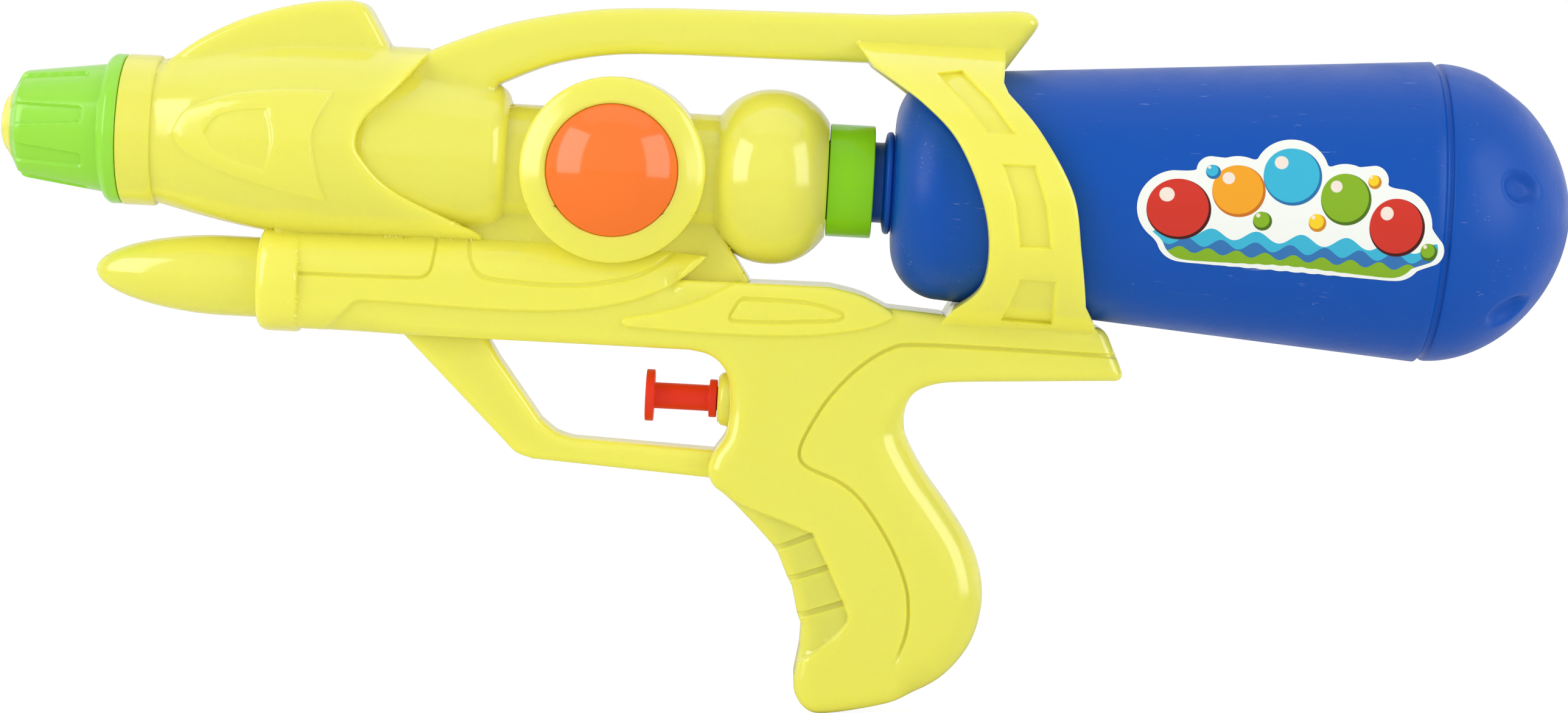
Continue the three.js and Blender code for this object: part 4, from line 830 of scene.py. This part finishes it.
def plastic(name, base, roughness, scuff=0.0, grain=0.0, shine=0.5, clear=0.0, dust=0.0, glow=0.0):
    """A moulded plastic: an even colour under a sheen that fine scuffs break up.

    grain is a fine bump, dust adds pale specks and hairlines, and glow lets light into the surface.
    """
    material = bpy.data.materials.new(name)
    tree = emptied(material)
    where = add(tree, "ShaderNodeTexCoord").outputs["Object"]
    cloud = add(tree, "ShaderNodeTexNoise", Vector=where, Scale=1 / (SCUFF_PATCH * MM), Detail=5.0,
                Roughness=0.6)
    rough = add(tree, "ShaderNodeMapRange", Value=cloud.outputs["Fac"], From_Min=0.35, From_Max=0.7,
                To_Min=roughness, To_Max=roughness + scuff)
    fine = add(tree, "ShaderNodeTexNoise", Vector=where, Scale=1 / (GRAIN * MM), Detail=3.0)
    bump = add(tree, "ShaderNodeBump", Strength=grain, Distance=GRAIN_DEPTH * MM,
               Height=fine.outputs["Fac"])
    shader = add(tree, "ShaderNodeBsdfPrincipled", Base_Color=base, Roughness=rough.outputs["Result"],
                 Normal=bump.outputs["Normal"], Specular_IOR_Level=shine, IOR=1.5, Transmission_Weight=clear,
                 Subsurface_Weight=glow, Subsurface_Radius=(1.0, 0.9, 0.2),
                 Subsurface_Scale=GLOW_DEPTH * MM)
    if dust:
        cell = add(tree, "ShaderNodeTexVoronoi", Vector=where, Scale=1 / (SPECK * MM))
        speck = add(tree, "ShaderNodeMapRange", Value=cell.outputs["Distance"], From_Min=0.02, From_Max=0.06,
                    To_Min=dust, To_Max=0.0)
        along = add(tree, "ShaderNodeVectorMath", {"operation": "MULTIPLY"},
                    (where, tuple(1 / (HAIRLINE * MM))))
        hair = add(tree, "ShaderNodeTexNoise", Vector=along.outputs["Vector"], Scale=1.0, Detail=2.0)
        line = add(tree, "ShaderNodeMapRange", Value=hair.outputs["Fac"], From_Min=0.68, From_Max=0.78,
                   To_Min=0.0, To_Max=dust)
        worn = add(tree, "ShaderNodeMath", {"operation": "MAXIMUM"},
                   (speck.outputs["Result"], line.outputs["Result"]))
        here = add(tree, "ShaderNodeMapRange", Value=cloud.outputs["Fac"], From_Min=0.5, From_Max=0.62)
        share = add(tree, "ShaderNodeMath", {"operation": "MULTIPLY"},
                    (worn.outputs["Value"], here.outputs["Result"]))
        tone = add(tree, "ShaderNodeMixRGB", Fac=share.outputs["Value"], Color1=base,
                   Color2=(0.8, 0.85, 0.9, 1))
        tree.links.new(tone.outputs["Color"], shader.inputs["Base Color"])
    add(tree, "ShaderNodeOutputMaterial", Surface=shader.outputs["BSDF"])
    return material


def lemon():
    """Moulded lemon-yellow plastic: bright and even, with the soft boxes' clear reflections."""
    return bpy.data.materials.get("moulded_lemon_plastic") or plastic(
        "moulded_lemon_plastic", tint("lemon"), 0.12, 0.07, 0.02, shine=1.0, glow=0.6)


def steel_finish():
    """Plated steel: grey metal with a broken shine."""
    made = bpy.data.materials.get("plated_steel")
    if made:
        return made
    made = plastic("plated_steel", tint("steel"), 0.3, 0.15)
    made.node_tree.nodes["Principled BSDF"].inputs["Metallic"].default_value = 1.0
    return made


# Operators

class SQUIRTER_OT_shells(bpy.types.Operator):
    """Builds the two half shells as height fields over their mid-plane."""
    bl_idname = "squirter.shells"
    bl_label = "Half shells"

    def execute(self, context):
        forms = shell_forms()
        places, faces, rim = shell_mesh(forms)
        outer, inner, _ = shell_heights(places, forms)
        count = len(places)
        walls = np.stack([rim[:, 1], rim[:, 0], rim[:, 0] + count, rim[:, 1] + count], 1)
        skins = np.vstack([faces, faces[:, ::-1] + count])
        triangles = np.vstack([skins, walls[:, [0, 1, 2]], walls[:, [0, 2, 3]]])
        for name, side in (("left_half", -1), ("right_half", 1)):
            top = outer.copy()
            if side > 0:
                for x, z, half in SCREWS:
                    well = np.hypot(places[:, 0] - x, places[:, 1] - z) < SCREW_WELL_R - TWIN / 2
                    top[well] = np.minimum(top[well], mm(half) - SCREW_SEAT)
            low = np.minimum(inner, np.maximum(top - THIN, HALF_GAP))
            points = np.vstack([np.stack([places[:, 0], side * y, places[:, 1]], 1) for y in (top, low)])
            node = name.replace("half", "shell")
            put(name, points, triangles, lemon(), "gun", "shell_yellow", node, sharp=34)
        return {"FINISHED"}


class SQUIRTER_OT_nozzle(bpy.types.Operator):
    """Builds the fluted nozzle cap and the stepped tip."""
    bl_idname = "squirter.nozzle"
    bl_label = "Nozzle cap and tip"

    def execute(self, context):
        front, flange_x, rear = 4.2, 27.4, 32.15
        radius = mm("cap_r")

        def flutes(s, r, t):
            """Flat-bottomed flutes, wider to the front, with round corners behind."""
            turn = (t - math.radians(FLUTE_TURN)) * FLUTES / (2 * math.pi)
            across = np.abs(turn - np.round(turn)) * 2 * math.pi / FLUTES * r
            end, corner = 23.7, 1.3
            beside = 2.15 + 0.95 * (end - s) / (end - front) - across
            behind = end - s
            bend = corner - np.hypot(np.maximum(corner - beside, 0), np.maximum(corner - behind, 0))
            inside = np.where((beside < corner) & (behind < corner), bend, np.minimum(beside, behind))
            outside = (r > 11.5) & (s < flange_x + 0.1)
            return s, r - mm("flute") * ease(inside / 0.55) * outside

        cone = [[s, 13.2 + (radius - 13.2) * (s - front) / (flange_x - front)]
                for s in [*np.linspace(6.6, 21.8, 24), *np.linspace(22, 24, 16), *np.linspace(24.4, 27, 5)]]
        profile = [*filleted([[7.5, 9.3], [front, 9.3], [6.2, 13.2], cone[1]], 0.3)[1:-1],
                   *cone[1:], *filleted([cone[-1], [flange_x, radius], [28.1, 18.0], [29.4, 19], [rear, 19],
                                         [rear, 10]], 0.5)[1:],
                   [30, 10], [30, 14.3], [16, 12.6], [15, 10], [13, 10], [13, 12.2], [7.5, 11.4], [7.5, 9.3]]
        profile.append(profile[0])
        points, faces = turned(profile, 400, at=(0, 0, BARREL_Z), warp=flutes)
        # Moulded green plastic: glossy, so the flutes catch thin bright lines
        cap = plastic("moulded_green_plastic", tint("green"), 0.14, 0.08, 0.02, shine=0.7)
        put("fluted_cap", points, faces, cap, "nozzle_cap", "fitting_green", "nozzle_cap", sharp=38)
        tip = filleted([[0.9, 0.7], [0.9, 2.6], [1.0, 3.6], [1.4, 5.0], [1.95, 6.3], [2.25, 6.75],
                        [2.55, 6.8], [2.75, 7.3], [3.9, 9.0], [4.4, 9.1], [7.2, 9.1], [7.2, 6.4],
                        [21.3, 6.4], [21.3, 8], [23.3, 8], [23.3, 1.25],
                        [31.3, 1.25], [31.3, 0.7]], 0.3)
        points, faces = turned([*tip, tip[0]], 96, at=(0, 0, BARREL_Z))
        put("stepped_tip", points, faces, lemon(), "gun", "shell_yellow", "nozzle_tip")
        return {"FINISHED"}


class SQUIRTER_OT_domes(bpy.types.Operator):
    """Builds the two orange domes."""
    bl_idname = "squirter.domes"
    bl_label = "Domes"

    def execute(self, context):
        # Polished orange plastic: a deep gloss that shows the soft boxes sharply
        polished = plastic("polished_orange_plastic", tint("orange"), 0.09, 0.03, shine=0.6)
        reach, rise = mm("dome_r"), mm("dome_rise")
        base = mm("boss_half") - 1.6
        sphere = (reach**2 + rise**2) / (2 * rise)
        lean = np.linspace(math.asin(reach / sphere), 0, 32)
        crown = np.stack([base + 1 + rise - sphere * (1 - np.cos(lean)), sphere * np.sin(lean)], 1)
        profile = np.vstack([[[base, 0], [base, reach - 0.3], [base + 0.3, reach]], crown])
        for side, name in ((-1, "left_dome"), (1, "right_dome")):
            points, faces = turned(profile * [side, 1], 128, "y", (BOSS_X, 0, 0))
            put(f"{name}_cap", points, faces, polished, "gun", "dome_orange", name)
        return {"FINISHED"}


class SQUIRTER_OT_tank(bpy.types.Operator):
    """Builds the blow-moulded tank and the collar that it screws into."""
    bl_idname = "squirter.tank"
    bl_label = "Tank and collar"

    def execute(self, context):
        # Blow-moulded blue plastic: a satin skin with blurred highlights, pale specks and hairlines
        blue = plastic("blow_moulded_blue_plastic", tint("blue"), 0.32, 0.12, 0.15, shine=0.3, dust=0.3)
        reach = mm("tank_r")
        t = quarter(18)
        neck = filleted([[215.5, 8.5], [215.5, 10.2], [225.3, 10.2], [225.7, 12.4], [226.2, 13], [227.2, 13],
                         [227.6, 12.2], [228, 12.4], [TANK_FRONT_X, NECK_END_R]], 0.3)
        shoulder = [[TANK_FRONT_X + SHOULDER * (1 - math.cos(a)),
                     NECK_END_R + (SHOULDER_R - NECK_END_R) * math.sin(a)] for a in t[1:]]
        wall = [[x, tank_reach(x)] for x in np.linspace(TANK_FRONT_X + SHOULDER, SEAM_X - 1.5, 40)[1:]]
        seam = filleted([wall[-1], [SEAM_X - 1.4, reach - 0.1], [SEAM_X - 0.8, reach - 1.1],
                         [SEAM_X + 0.4, reach - 1.2], [SEAM_X + 0.9, reach - 0.45],
                         [SEAM_X + 1.5, reach - 0.35]], 0.5)[1:]
        end = TANK_END_X - SEAM_X - 1.5
        crown = [[SEAM_X + 1.5 + end * math.sin(a), (reach - 0.35) * max(1 - math.sin(a)**1.9, 0)**0.55]
                 for a in quarter(90)[1:]]
        inside = [[x, r - 3.6] for x, r in [crown[-20], crown[30], seam[1], wall[1], shoulder[8]]]
        inside += [[230, 8.5], [215.5, 8.5]]
        outside = [*neck, *shoulder, *wall, *seam, *crown]

        def dimples(s, r, t):
            """Round finger dimples in the tank's round end: a smooth bowl with a short fillet at its rim."""
            for lean in (14.5, 83, -46, 150, -112):
                turn = math.radians(180 - lean)
                apart = np.hypot((s - 382.3) * 0.9, np.angle(np.exp(1j * (t - turn))) * 33)
                press = 2.4 * ease((5.4 - apart) / 3.6) * (r > 12) * (s > SEAM_X + 3)
                s, r = s - 0.55 * press, r - 0.83 * press
            return s, r

        points, faces = turned([*outside, *inside], 320, warp=dimples)
        put("bottle_tank", points, faces, blue, "tank", "tank_blue", "tank", sharp=50)
        collar_r = mm("collar_r")
        profile = filleted([[199.3, 0.7], [199.3, 1.25], [206.3, 1.25], [206.3, 12.6], [208.3, 12.6],
                            [208.3, 10], [COLLAR_X, 10], [COLLAR_X, collar_r], [222.7, collar_r],
                            [222.7, 11.6], [213.3, 11.6],
                            [213.3, 1.25], [220.3, 1.25], [220.3, 0.7], [199.3, 0.7]], 0.4)
        points, faces = turned(profile, 128)
        # Moulded green plastic, the cap's own plastic, glossy: its colour is a darker, deeper green than the
        # cap's, painted shade from the bulb and hoop
        leaf = plastic("moulded_leaf_green_plastic", tint("leaf"), 0.14, 0.08, 0.02, shine=0.35)
        put("screw_collar", points, faces, leaf, "gun", "fitting_green", "tank_collar")
        return {"FINISHED"}


# The sticker's balls: middle along and up the tank and radius in millimetres, colour and shade
BALLS = [
    (-28.0, -1.5, 8.0, "#d3301f", "#4a1410"), (-13.6, 4.0, 6.6, "#f4a51c", "#c9701a"),
    (-0.6, 8.2, 7.2, "#36b6d6", "#1d6fa8"), (12.6, 3.2, 6.2, "#86b41c", "#4c7212"),
    (25.4, -2.8, 6.8, "#d3301f", "#4a1410"), (-20.0, 8.6, 1.9, "#36b6d6", "#1d6fa8"),
    (6.0, -2.8, 2.2, "#f9d21e", "#d08a1a"), (-7.4, -3.2, 2.4, "#86b41c", "#4c7212"),
    (19.4, 7.6, 1.7, "#f9d21e", "#d08a1a"), (33.6, -8.0, 2.1, "#86b41c", "#4c7212"),
]
# The waves below them: height, swell and length in millimetres, shift and colour
WAVES = [(-7.6, 1.3, 11.0, 0.0, "#36b6d6"), (-10.2, 1.1, 8.5, 1.4, "#2f74b5"),
         (-12.4, 0.8, 7.0, 0.4, "#86b41c")]
# The sticker in millimetres: place along the tank, its radius there, white border and rim round each ball
STICKER_X = 325.3
STICKER_R = 35.2
STICKER_EDGE = 1.5
STICKER_RIM = 2.0
STICKER_HEART = np.array([0.0, -3.0])


def sticker_reach(turn):
    """How far the sticker reaches from its heart at each turn: to its outermost disc, smoothed."""
    rims = [(u, v, r + STICKER_RIM) for u, v, r, _, _ in BALLS]
    base = [(u, -9.6, 6.6) for u in range(-26, 28, 4)]
    way = np.stack([np.cos(turn), np.sin(turn)], -1)
    reach = np.zeros(len(turn))
    for u, v, r in [*rims, *base, (0, -3, 8)]:
        off = np.array([u, v]) - STICKER_HEART
        ahead = way @ off
        beside = (off**2).sum() - ahead**2
        reach = np.maximum(reach, np.where(beside < r * r, ahead + np.sqrt(np.maximum(r * r - beside, 0)), 0))
    return np.mean([np.roll(reach, shift) for shift in range(-3, 4)], axis=0)


def sticker_print():
    """Glossy printed paper: coloured balls with a shine over waves, inside a white border."""
    material = bpy.data.materials.new("printed_sticker_paper")
    tree = emptied(material)
    place = add(tree, "ShaderNodeAttribute", {"attribute_name": "sticker_mm"}).outputs["Vector"]
    flat = add(tree, "ShaderNodeVectorMath", {"operation": "MULTIPLY"}, (place, (1, 1, 0))).outputs["Vector"]
    axes = add(tree, "ShaderNodeSeparateXYZ", Vector=place)
    tone = tint("sticker")

    for height, swell, reach, shift, code in WAVES:
        turn = add(tree, "ShaderNodeMath", {"operation": "MULTIPLY_ADD"},
                   (axes.outputs["X"], 2 * math.pi / reach, shift))
        rise = add(tree, "ShaderNodeMath", {"operation": "SINE"}, (turn.outputs["Value"],))
        crest = add(tree, "ShaderNodeMath", {"operation": "MULTIPLY_ADD"},
                    (rise.outputs["Value"], swell, height))
        under = add(tree, "ShaderNodeMath", {"operation": "LESS_THAN"},
                    (axes.outputs["Y"], crest.outputs["Value"]))
        wave = add(tree, "ShaderNodeMixRGB", Fac=under.outputs["Value"], Color1=tone, Color2=linear(code))
        tone = wave.outputs["Color"]
    for u, v, r, code, shade in BALLS:
        discs = ((u + 0.3, v - 0.4, r, shade), (u, v, r - 0.35, code),
                 (u - 0.35 * r, v + 0.42 * r, 0.24 * r, "#f4e6d8"))
        for x, y, radius, ink in discs:
            away = add(tree, "ShaderNodeVectorMath", {"operation": "DISTANCE"}, (flat, (x, y, 0)))
            share = add(tree, "ShaderNodeMapRange", Value=away.outputs["Value"], From_Min=radius - 0.12,
                        From_Max=radius, To_Min=1.0, To_Max=0.0)
            ball = add(tree, "ShaderNodeMixRGB", Fac=share.outputs["Result"], Color1=tone, Color2=linear(ink))
            tone = ball.outputs["Color"]
    edge = add(tree, "ShaderNodeMath", {"operation": "LESS_THAN"}, (axes.outputs["Z"], STICKER_EDGE))
    tone = add(tree, "ShaderNodeMixRGB", Fac=edge.outputs["Value"], Color1=tone, Color2=tint("sticker"))
    shader = add(tree, "ShaderNodeBsdfPrincipled", Base_Color=tone.outputs["Color"], Roughness=0.3)
    add(tree, "ShaderNodeOutputMaterial", Surface=shader.outputs["BSDF"])
    return material


class SQUIRTER_OT_sticker(bpy.types.Operator):
    """Builds the thin die-cut sticker, wrapped on the tank's near side."""
    bl_idname = "squirter.sticker"
    bl_label = "Sticker"

    def execute(self, context):
        turn = np.linspace(-math.pi, math.pi, 481)[:-1]
        reach = sticker_reach(turn)
        share = np.linspace(0, 1, 24)
        rows = np.concatenate([share, share[::-1]])[:, None]
        height = np.repeat([0.14, 0.03], len(share))[:, None]
        u = STICKER_HEART[0] + rows * reach * np.cos(turn)
        v = STICKER_HEART[1] + rows * reach * np.sin(turn)
        radius = tank_reach(STICKER_X + u) + height
        lean = v / STICKER_R
        points = np.stack([STICKER_X + u, -radius * np.cos(lean), radius * np.sin(lean)], -1)
        piece = put("tank_sticker", points.reshape(-1, 3), strips(len(rows), len(turn)), sticker_print(),
                    "tank", None)
        made = np.empty(len(piece.data.vertices) * 3)
        piece.data.vertices.foreach_get("co", made)
        x, y, z = ((made.reshape(-1, 3) - ORIGIN) / MM).T
        place = np.stack([x - STICKER_X, np.arctan2(z, -y) * STICKER_R], 1)
        off = place - STICKER_HEART
        depth = np.interp(np.arctan2(off[:, 1], off[:, 0]), turn, reach) - np.hypot(*off.T)
        mark = piece.data.attributes.new("sticker_mm", "FLOAT_VECTOR", "POINT")
        mark.data.foreach_set("vector", np.column_stack([place, depth]).ravel())
        return {"FINISHED"}


class SQUIRTER_OT_trigger(bpy.types.Operator):
    """Builds the push trigger and the pump sleeve that it slides in."""
    bl_idname = "squirter.trigger"
    bl_label = "Trigger and pump sleeve"

    def execute(self, context):
        # Moulded red plastic: satin, with one broad soft shine
        red = plastic("moulded_red_plastic", tint("red"), 0.32, 0.12, 0.05, shine=0.3)
        pad = mm("pad_r")
        rod = filleted([[167.8, 0], [167.8, pad], [170, pad], [170, 3.35], [184, 3.35], [184, 4.85],
                        [186, 4.85], [186, 2.95], [188.2, 2.95], [188.2, 5.3], [189.6, 5.3], [189.6, 3.4],
                        [192, 3.4], [192, 5.3],
                        [193.4, 5.3], [193.4, 2.4], [195.9, 2.4], [195.9, 0]], 0.35)
        points, faces = turned(rod, 64, at=(0, 0, PUMP_Z))
        put("push_trigger", points, faces, red, "trigger", "trigger_red", "trigger")
        sleeve = filleted([[SLEEVE_X, 5.05], [SLEEVE_X, 5.75], [187.2, 6.7], [189.2, 7.15], [212.2, 7.15],
                           [212.2, 5.5], [188, 5.5], [188, 5.05], [SLEEVE_X, 5.05]], 0.3)
        points, faces = turned(sleeve, 64, at=(0, 0, PUMP_Z))
        put("pump_sleeve", points, faces, lemon(), "gun", "shell_yellow", "pump_cylinder")
        return {"FINISHED"}


class SQUIRTER_OT_spring(bpy.types.Operator):
    """Builds the return spring.

    A wire of radius w follows x = a + b t, y = R cos t, z = R sin t and closes to a point at each end.
    """
    bl_idname = "squirter.spring"
    bl_label = "Return spring"

    def execute(self, context):
        low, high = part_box("return_spring")
        wire = mm("wire_r")
        front, back = ((corner.x - ORIGIN[0]) / MM for corner in (low, high))
        coil = (high.z - low.z) / MM / 2 - wire
        t = np.linspace(0, 2 * math.pi * SPRING_TURNS, SPRING_TURNS * 48 + 1)
        out = np.stack([np.zeros(len(t)), np.cos(t), np.sin(t)], -1)
        middle = np.stack([np.linspace(front + wire, back - wire, len(t)), 0 * t, PUMP_Z + 0 * t], -1)
        path = middle + coil * out
        ahead = np.gradient(path, axis=0)
        side = np.cross(ahead / np.linalg.norm(ahead, axis=1)[:, None], out)
        turn = np.arange(14)[:, None] * 2 * math.pi / 14
        rings = path[:, None] + wire * (np.cos(turn) * out[:, None] + np.sin(turn) * side[:, None])
        ends = [np.repeat(path[i:i + 1, None], len(turn), 1) for i in (0, len(t) - 1)]
        points = np.concatenate([ends[0], rings, ends[1]])
        piece = put("coil_spring", points.reshape(-1, 3), strips(len(points), len(turn)), steel_finish(),
                    "gun", "steel", "return_spring")
        1 - mm("stroke") / (back - front)
        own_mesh(piece)
        return {"FINISHED"}


class SQUIRTER_OT_screws(bpy.types.Operator):
    """Builds the pan-head screws on the right side."""
    bl_idname = "squirter.screws"
    bl_label = "Screws"

    def execute(self, context):
        steel = steel_finish()

        def recess(s, r, t):
            """A cross recess in the head's crown: two slots that narrow to the middle's depth."""
            slot = np.minimum(np.abs(r * np.sin(t)), np.abs(r * np.cos(t)))
            cut = ease((0.42 - slot) / 0.16) * ease((1.75 - r) / 0.35)
            return np.where(s > 0, s - 0.9 * cut * (s > head_low), s), r

        for number, (x, z, half) in enumerate(SCREWS, 1):
            seat = mm(half) - SCREW_SEAT + 0.3
            head_low = seat + 1.0
            rows = [[seat + 1.9 - 0.5 * (r / 2.7)**2, r] for r in np.linspace(2.5, 0, 22)]
            profile = [[-6.5, 0], [-5.3, 1.2], [seat, 1.2], [seat, 2.7], [seat + 1, 2.7], *rows]
            points, faces = turned(profile, 64, "y", (x, 0, z), recess)
            put(f"pan_screw_{number}", points, faces, steel, "gun", "steel", f"shell_screw_{number}")
        return {"FINISHED"}


class SQUIRTER_OT_inner_pieces(bpy.types.Operator):
    """Gives the hidden pump, hose and seal pieces their finish."""
    bl_idname = "squirter.inner_pieces"
    bl_label = "Inner pieces"

    def execute(self, context):
        # White plastic is plain and a little waxy and the tube half clear.
        # Rubber is dull black with a fine grain
        finishes = {
            "pump_white": plastic("natural_white_plastic", tint("white"), 0.4, 0.1, 0.05),
            "hose_clear": plastic("milky_clear_tube", tint("milky"), 0.3, 0.1, clear=0.5),
            "seal_rubber": plastic("black_rubber", tint("rubber"), 0.75, 0.1, 0.2),
            "steel": steel_finish(),
        }
        slots = {part["node"]: part["material_slot"] for part in frame["record"]["subparts"]}
        for name, node in frame["nodes"].items():
            if slots.get(name) in finishes:
                for place in node.material_slots:
                    place.material = finishes[slots[name]]
        return {"FINISHED"}


def white_paper():
    """Matt white paper that the camera sees as white, with the object's soft shadow still on it.

    Glossy pieces mirror it darker in front of the gun than behind it.
    """
    material = bpy.data.materials.new("studio_paper")
    tree = emptied(material)
    path = add(tree, "ShaderNodeLightPath")
    share = add(tree, "ShaderNodeMath", {"operation": "MULTIPLY"}, (path.outputs["Is Camera Ray"], 0.8))
    place = add(tree, "ShaderNodeSeparateXYZ", Vector=add(tree, "ShaderNodeNewGeometry").outputs["Position"])
    far = add(tree, "ShaderNodeMapRange", Value=place.outputs["Y"], From_Min=-0.05, From_Max=0.2,
              To_Min=0.25, To_Max=0.85)
    tone = add(tree, "ShaderNodeMixRGB", Fac=path.outputs["Is Glossy Ray"], Color1=tint("paper"),
               Color2=far.outputs["Result"])
    matt = add(tree, "ShaderNodeBsdfDiffuse", Color=tone.outputs["Color"])
    glow = add(tree, "ShaderNodeEmission", Color=tint("paper"), Strength=1.15)
    mix = add(tree, "ShaderNodeMixShader", None,
              (share.outputs["Value"], matt.outputs["BSDF"], glow.outputs["Emission"]))
    add(tree, "ShaderNodeOutputMaterial", Surface=mix.outputs["Shader"])
    return material


# Soft lights: name, place from the gun's middle, width and height in metres, and watts
LIGHTS = [
    ("left_box", (-0.97, -0.62, 0.29), 0.7, 1.2, 6.4),
    ("right_box", (0.97, -0.62, 0.29), 0.7, 1.2, 5.4),
    ("overhead", (0.0, 0.15, 1.1), 1.6, 1.6, 2.6),
]
# The camera that took the photograph: its place in metres, tilts in degrees and lens in millimetres
CAMERA_PLACE = (0.1988, -1.0, 0.0234)
CAMERA_ROLL = 3.1
CAMERA_DIP = 3.955
CAMERA_LENS = 90.04
SENSOR = 36.0


class SQUIRTER_OT_stage(bpy.types.Operator):
    """Sets the pale floor, the soft studio lights and the camera."""
    bl_idname = "squirter.stage"
    bl_label = "Stage"

    def execute(self, context):
        scene = context.scene
        scene.view_settings.view_transform = "Standard"
        scene.view_settings.look = "None"
        paper = white_paper()
        half, middle = 3.0, ORIGIN[0] + 0.2
        corners = [(middle + i * half, j * half, FLOOR_Z) for i, j in ((-1, -1), (1, -1), (1, 1), (-1, 1))]
        sheet = bpy.data.meshes.new("floor")
        sheet.from_pydata(corners, [], [(0, 1, 2, 3)])
        sheet.materials.append(paper)
        floor = bpy.data.objects.new("floor", sheet)
        scene.collection.objects.link(floor)
        # The room is white to the camera, and its reflection is darker in front of the gun than behind it
        world = bpy.data.worlds.new("studio")
        tree = emptied(world)
        path = add(tree, "ShaderNodeLightPath")
        way = add(tree, "ShaderNodeSeparateXYZ", Vector=add(tree, "ShaderNodeTexCoord").outputs["Generated"])
        far = add(tree, "ShaderNodeMapRange", Value=way.outputs["Y"], From_Min=-0.1, From_Max=0.4,
                  To_Min=0.45, To_Max=0.9)
        room = add(tree, "ShaderNodeMixRGB", Fac=path.outputs["Is Glossy Ray"], Color1=(0.58, 0.58, 0.58, 1),
                   Color2=far.outputs["Result"])
        seen = add(tree, "ShaderNodeMixRGB", Fac=path.outputs["Is Camera Ray"], Color1=room.outputs["Color"],
                   Color2=(1, 1, 1, 1))
        sky = add(tree, "ShaderNodeBackground", Color=seen.outputs["Color"], Strength=1.0)
        add(tree, "ShaderNodeOutputWorld", Surface=sky.outputs["Background"])
        scene.world = world
        aim = Vector((ORIGIN[0] + 0.19, 0, ORIGIN[2] - 0.02))
        for name, place, wide, high, power in LIGHTS:
            data = bpy.data.lights.new(name, "AREA")
            data.shape, data.size, data.size_y, data.energy = "RECTANGLE", wide, high, power
            lamp = bpy.data.objects.new(name, data)
            lamp.location = aim + Vector(place)
            lamp.rotation_euler = (-Vector(place)).to_track_quat("-Z", "Y").to_euler()
            scene.collection.objects.link(lamp)
        data = bpy.data.cameras.new("camera")
        data.sensor_fit, data.sensor_width, data.lens = "HORIZONTAL", SENSOR, CAMERA_LENS
        roll, dip = math.radians(CAMERA_ROLL), math.radians(CAMERA_DIP)
        up = Vector((-math.sin(roll), 0, math.cos(roll)))
        ahead = Vector((0, math.cos(dip), 0)) - up * math.sin(dip)
        right = ahead.cross(up).normalized()
        turn = Matrix((right, right.cross(ahead), -ahead)).transposed()
        camera = bpy.data.objects.new("camera", data)
        place = Vector(CAMERA_PLACE) + Vector(ORIGIN.tolist())
        camera.matrix_world = Matrix.Translation(place) @ turn.to_4x4()
        scene.collection.objects.link(camera)
        scene.camera = camera
        return {"FINISHED"}


STEPS = ("shells", "nozzle", "domes", "tank", "sticker", "trigger", "spring", "screws", "inner_pieces",
         "stage")


class SQUIRTER_PT_panel(bpy.types.Panel):
    """Sizes, colours and steps of the squirter."""
    bl_idname = "SQUIRTER_PT_panel"
    bl_label = "Water squirter"
    bl_space_type = "VIEW_3D"
    bl_region_type = "UI"
    bl_category = "Squirter"

    def draw(self, context):
        for group in (context.scene.squirter_sizes, context.scene.squirter_colours):
            column = self.layout.column(align=True)
            for key in group.__annotations__:
                column.prop(group, key)
        for step in STEPS:
            self.layout.operator(f"squirter.{step}")


CLASSES = (SquirterSizes, SquirterColours, SQUIRTER_OT_shells, SQUIRTER_OT_nozzle, SQUIRTER_OT_domes,
           SQUIRTER_OT_tank, SQUIRTER_OT_sticker, SQUIRTER_OT_trigger, SQUIRTER_OT_spring, SQUIRTER_OT_screws,
           SQUIRTER_OT_inner_pieces, SQUIRTER_OT_stage, SQUIRTER_PT_panel)


def register():
    """Adds the classes and the scene's size and colour groups."""
    for kind in CLASSES:
        bpy.utils.register_class(kind)
    bpy.types.Scene.squirter_sizes = bpy.props.PointerProperty(type=SquirterSizes)
    bpy.types.Scene.squirter_colours = bpy.props.PointerProperty(type=SquirterColours)


def unregister():
    """Takes them away again."""
    del bpy.types.Scene.squirter_colours
    del bpy.types.Scene.squirter_sizes
    for kind in reversed(CLASSES):
        bpy.utils.unregister_class(kind)


def main():
    """Builds every piece and the stage."""
    register()
    for step in STEPS:
        getattr(bpy.ops.squirter, step)()


if __name__ == "__main__":
    main()
